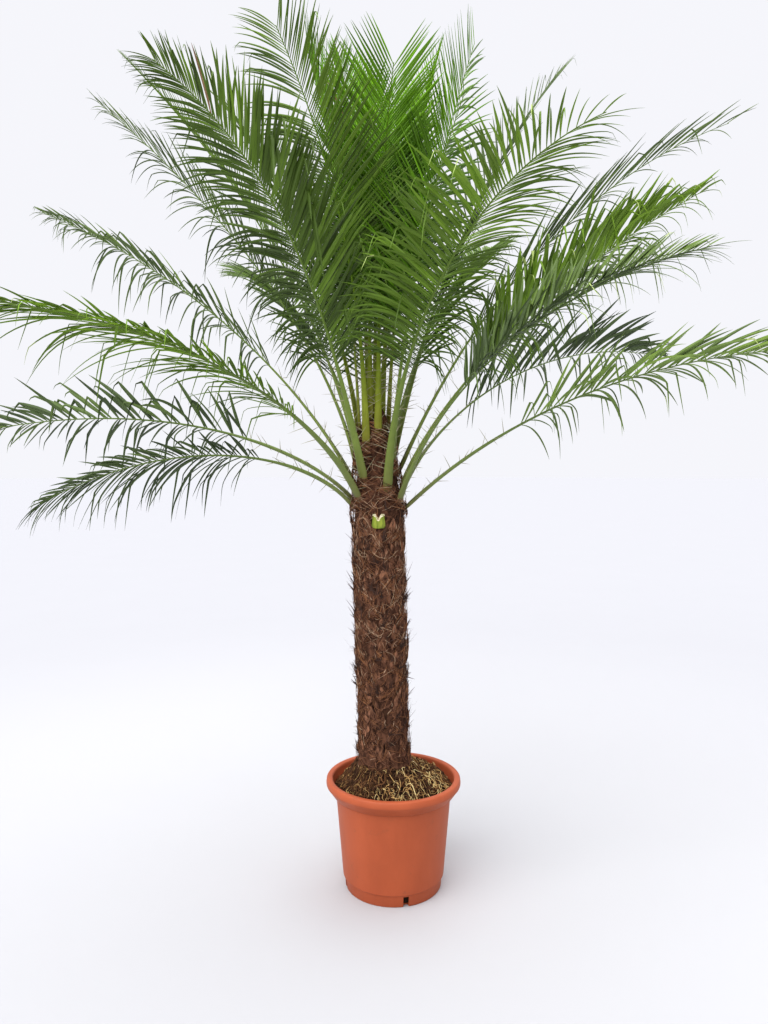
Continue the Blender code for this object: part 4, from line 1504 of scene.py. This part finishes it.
    def add(self, mesh: bpy.types.Mesh, finish: Finish) -> None:
        """Put a piece of the root ball in the scene."""
        add_piece(mesh, ["root_ball"], "potting_soil", finish.make())

    def build(self) -> None:
        """Make the root ball's pieces, the roots darker by the left and paler in a mat at the right."""
        chance = np.random.default_rng(3)
        soil = Finish(
            "soil", (0.009, 0.005, 0.003), (0.046, 0.022, 0.012), 170, 1, 3.0,
            roughness=0.95, relief=0.003, relief_scale=500, specular=0.15,
        )
        clod = Finish(
            "clod", (0.016, 0.008, 0.005), (0.090, 0.046, 0.024), 140, 1, 3.0,
            roughness=0.95, relief=0.002, relief_scale=500, specular=0.15,
        )
        self.add(self.ball(), soil)
        self.add(self.clod_mesh(chance), clod)
        taper = read_table(self.root_taper, np.linspace(0, 1, self.root_rings))
        fine = self.root_lines(chance, self.roots, self.root_growth, self.root_hoop)
        coarse = self.root_lines(chance, self.thick_roots, self.thick_growth, self.thick_hoop)
        fine = strand_rings(fine, self.root_thick * chance.uniform(0.4, 1.3, len(fine)), taper, 4)
        coarse = strand_rings(coarse, self.thick_root * chance.uniform(0.6, 1.4, len(coarse)), taper, 4)
        rings = np.concatenate((fine, coarse))
        share = chance.random(len(rings))
        bare = rings[:, 0, 0, 0] < chance.normal(self.dark_left, 0.02, len(rings))
        share = np.where(bare, share * 0.74, share)
        middle = rings[:, self.root_rings // 2, 0]
        mat = np.hypot(middle[:, 0] - self.mat_at[0], middle[:, 1] - self.mat_at[1]) < self.mat_radius
        share = np.where(mat, 0.45 + 0.55 * share, share)
        low = 0.0
        for high, finish in self.root_shades:
            self.add(mesh_from_stacks(finish.name, [rings[(share >= low) & (share < high)]], 80), finish)
            low = high


@dataclass
class CutStub:
    """The stub of a leaf cut off low on the front of the crown."""

    column: Column = Column()
    height: float = 0.7250
    length: float = 0.027
    half_width: float = 0.0112
    front: float = 0.0062
    back: float = 0.0022
    lift: float = 84.0
    corners: int = 24
    rows: tuple[float, ...] = (1.18, 0.98, 0.94, 0.95, 0.97, 1.0)
    insets: tuple[float, ...] = (0.0010, 0.0016, 0.0020)
    off_bark: float = 0.001
    cut_share: float = 0.55
    dip: float = 0.0095
    dip_at: float = -0.0008
    dip_half: float = 0.0048
    slope: float = 0.006

    def build(self) -> None:
        """Draw the stub up from the trunk, with a sloping pale cut end that dips in the middle."""
        bm = bmesh.new()
        for vert in bmesh.ops.create_circle(bm, cap_ends=True, segments=self.corners, radius=1.0)["verts"]:
            vert.co.x *= self.half_width
            vert.co.y *= self.front if vert.co.y < 0 else self.back
        face = bm.faces[:][0]
        for grow in self.rows:
            face = bmesh.ops.extrude_discrete_faces(bm, faces=[face])["faces"][0]
            bmesh.ops.translate(bm, vec=(0, 0, self.length / len(self.rows)), verts=face.verts)
            middle = face.calc_center_median()
            bmesh.ops.scale(bm, vec=(grow, grow, 1), space=Matrix.Translation(-middle), verts=face.verts)
        for inset in self.insets:
            bmesh.ops.inset_region(bm, faces=[face], thickness=inset, depth=0.0)
        for vert in bm.verts:
            share = max(0.0, vert.co.z / self.length - self.cut_share) / (1 - self.cut_share)
            notch = self.dip * max(0.0, 1 - abs(vert.co.x - self.dip_at) / self.dip_half) ** 0.8
            vert.co.z -= share * (notch + self.slope * max(0.0, -vert.co.y / self.front))
        bm.normal_update()
        for face in bm.faces:
            cut = face.calc_center_median().z > self.length * 0.5 and face.normal.z > 0.35
            face.material_index = 1 if cut else 0
        tilt = Matrix.Rotation(math.radians(90 - self.lift), 4, "X")
        foot = Vector(self.column.spot(np.array(math.radians(270)), np.array(self.height)))
        place = Matrix.Translation(foot + Vector((0, -self.off_bark, 0)))
        bmesh.ops.transform(bm, matrix=place @ tilt, verts=bm.verts)
        green = Finish(
            "stub_green", (0.120, 0.175, 0.018), (0.360, 0.410, 0.060), 160, 0.2, 3.0,
            roughness=0.5, specular=0.3,
        )
        pale = Finish("stub_cut", (0.60, 0.53, 0.32), (0.86, 0.80, 0.60), 240, 1, 2.0, 0.6)
        add_piece(mesh_from_bmesh("cut_stub", bm), ["petiole_stub"], "cut_petiole", green.make(), pale.make())


@dataclass
class Studio:
    """The camera at the photograph's place, a pale floor and soft light."""

    camera_at: tuple[float, float, float] = (-0.019, -1.562, 0.843)
    pitch: float = 3.3
    focal_pixels: float = 790.0
    frame_height: float = 1024.0
    sensor: float = 36.0
    clip_start: float = 0.05
    floor_radius: float = 60.0
    floor_drop: float = 0.0005
    light_breadth: float = 60.0
    sky_colour: Colour = (0.93, 0.932, 0.975)
    sky_strength: float = 0.83

    def camera(self) -> None:
        """Set the camera up."""
        data = bpy.data.cameras.new("camera")
        data.sensor_width = self.sensor
        data.lens = self.focal_pixels / self.frame_height * self.sensor
        data.clip_start = self.clip_start
        eye = add_object("camera", data)
        eye.location = self.camera_at
        eye.rotation_euler = (math.radians(90 - self.pitch), 0, 0)
        bpy.context.scene.camera = eye

    def floor(self) -> None:
        """Lay the pale floor."""
        bm = bmesh.new()
        bmesh.ops.create_circle(bm, cap_ends=True, segments=96, radius=self.floor_radius)
        bmesh.ops.translate(bm, vec=(0, 0, -self.floor_drop), verts=bm.verts)
        mesh = mesh_from_bmesh("floor", bm)
        finish = FloorFinish(
            "floor", (0.430, 0.431, 0.450), (0.440, 0.441, 0.461), 3, 1, 1, roughness=1.0, specular=0.0
        )
        mesh.materials.append(finish.make())
        floor = add_object("floor", mesh)

    def light(self, name: str, place: Sequence[float], watts: float) -> None:
        """Hang a broad, far light, which shines alike on the plant and on the whole floor.

        Args:
            name: Its name.
            place: Where it hangs, over the middle of the floor.
            watts: What it sends to a square metre that faces it.
        """
        data = bpy.data.lights.new(name, "SUN")
        data.angle = math.radians(self.light_breadth)
        data.energy = watts
        lamp = add_object(name, data)
        lamp.location = place
        lamp.rotation_euler = (-Vector(place)).to_track_quat("-Z", "Y").to_euler()

    def build(self) -> None:
        """Make the studio."""
        self.camera()
        self.floor()
        world = bpy.data.worlds.new("studio")
        world.use_nodes = True
        sky = world.node_tree.nodes["Background"]
        sky.inputs["Color"].default_value = (*self.sky_colour, 1.0)
        sky.inputs["Strength"].default_value = self.sky_strength
        bpy.context.scene.world = world
        self.light("key", (-1.6, -2.2, 3.0), 2.4)
        self.light("top", (0.6, 0.8, 3.8), 1.4)
        view = bpy.context.scene.view_settings
        view.view_transform = "Standard"
        view.look = "Medium High Contrast"


def main() -> None:
    """Build the plant and the studio."""
    logging.basicConfig(level=logging.INFO, format="%(name)s: %(message)s")
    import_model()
    build_mottle_group()
    for part in (Pot(), RootBall(), Trunk(), CutStub(), Crown(), Studio()):
        part.build()
    bpy.context.view_layer.update()


if __name__ == "__main__":
    main()
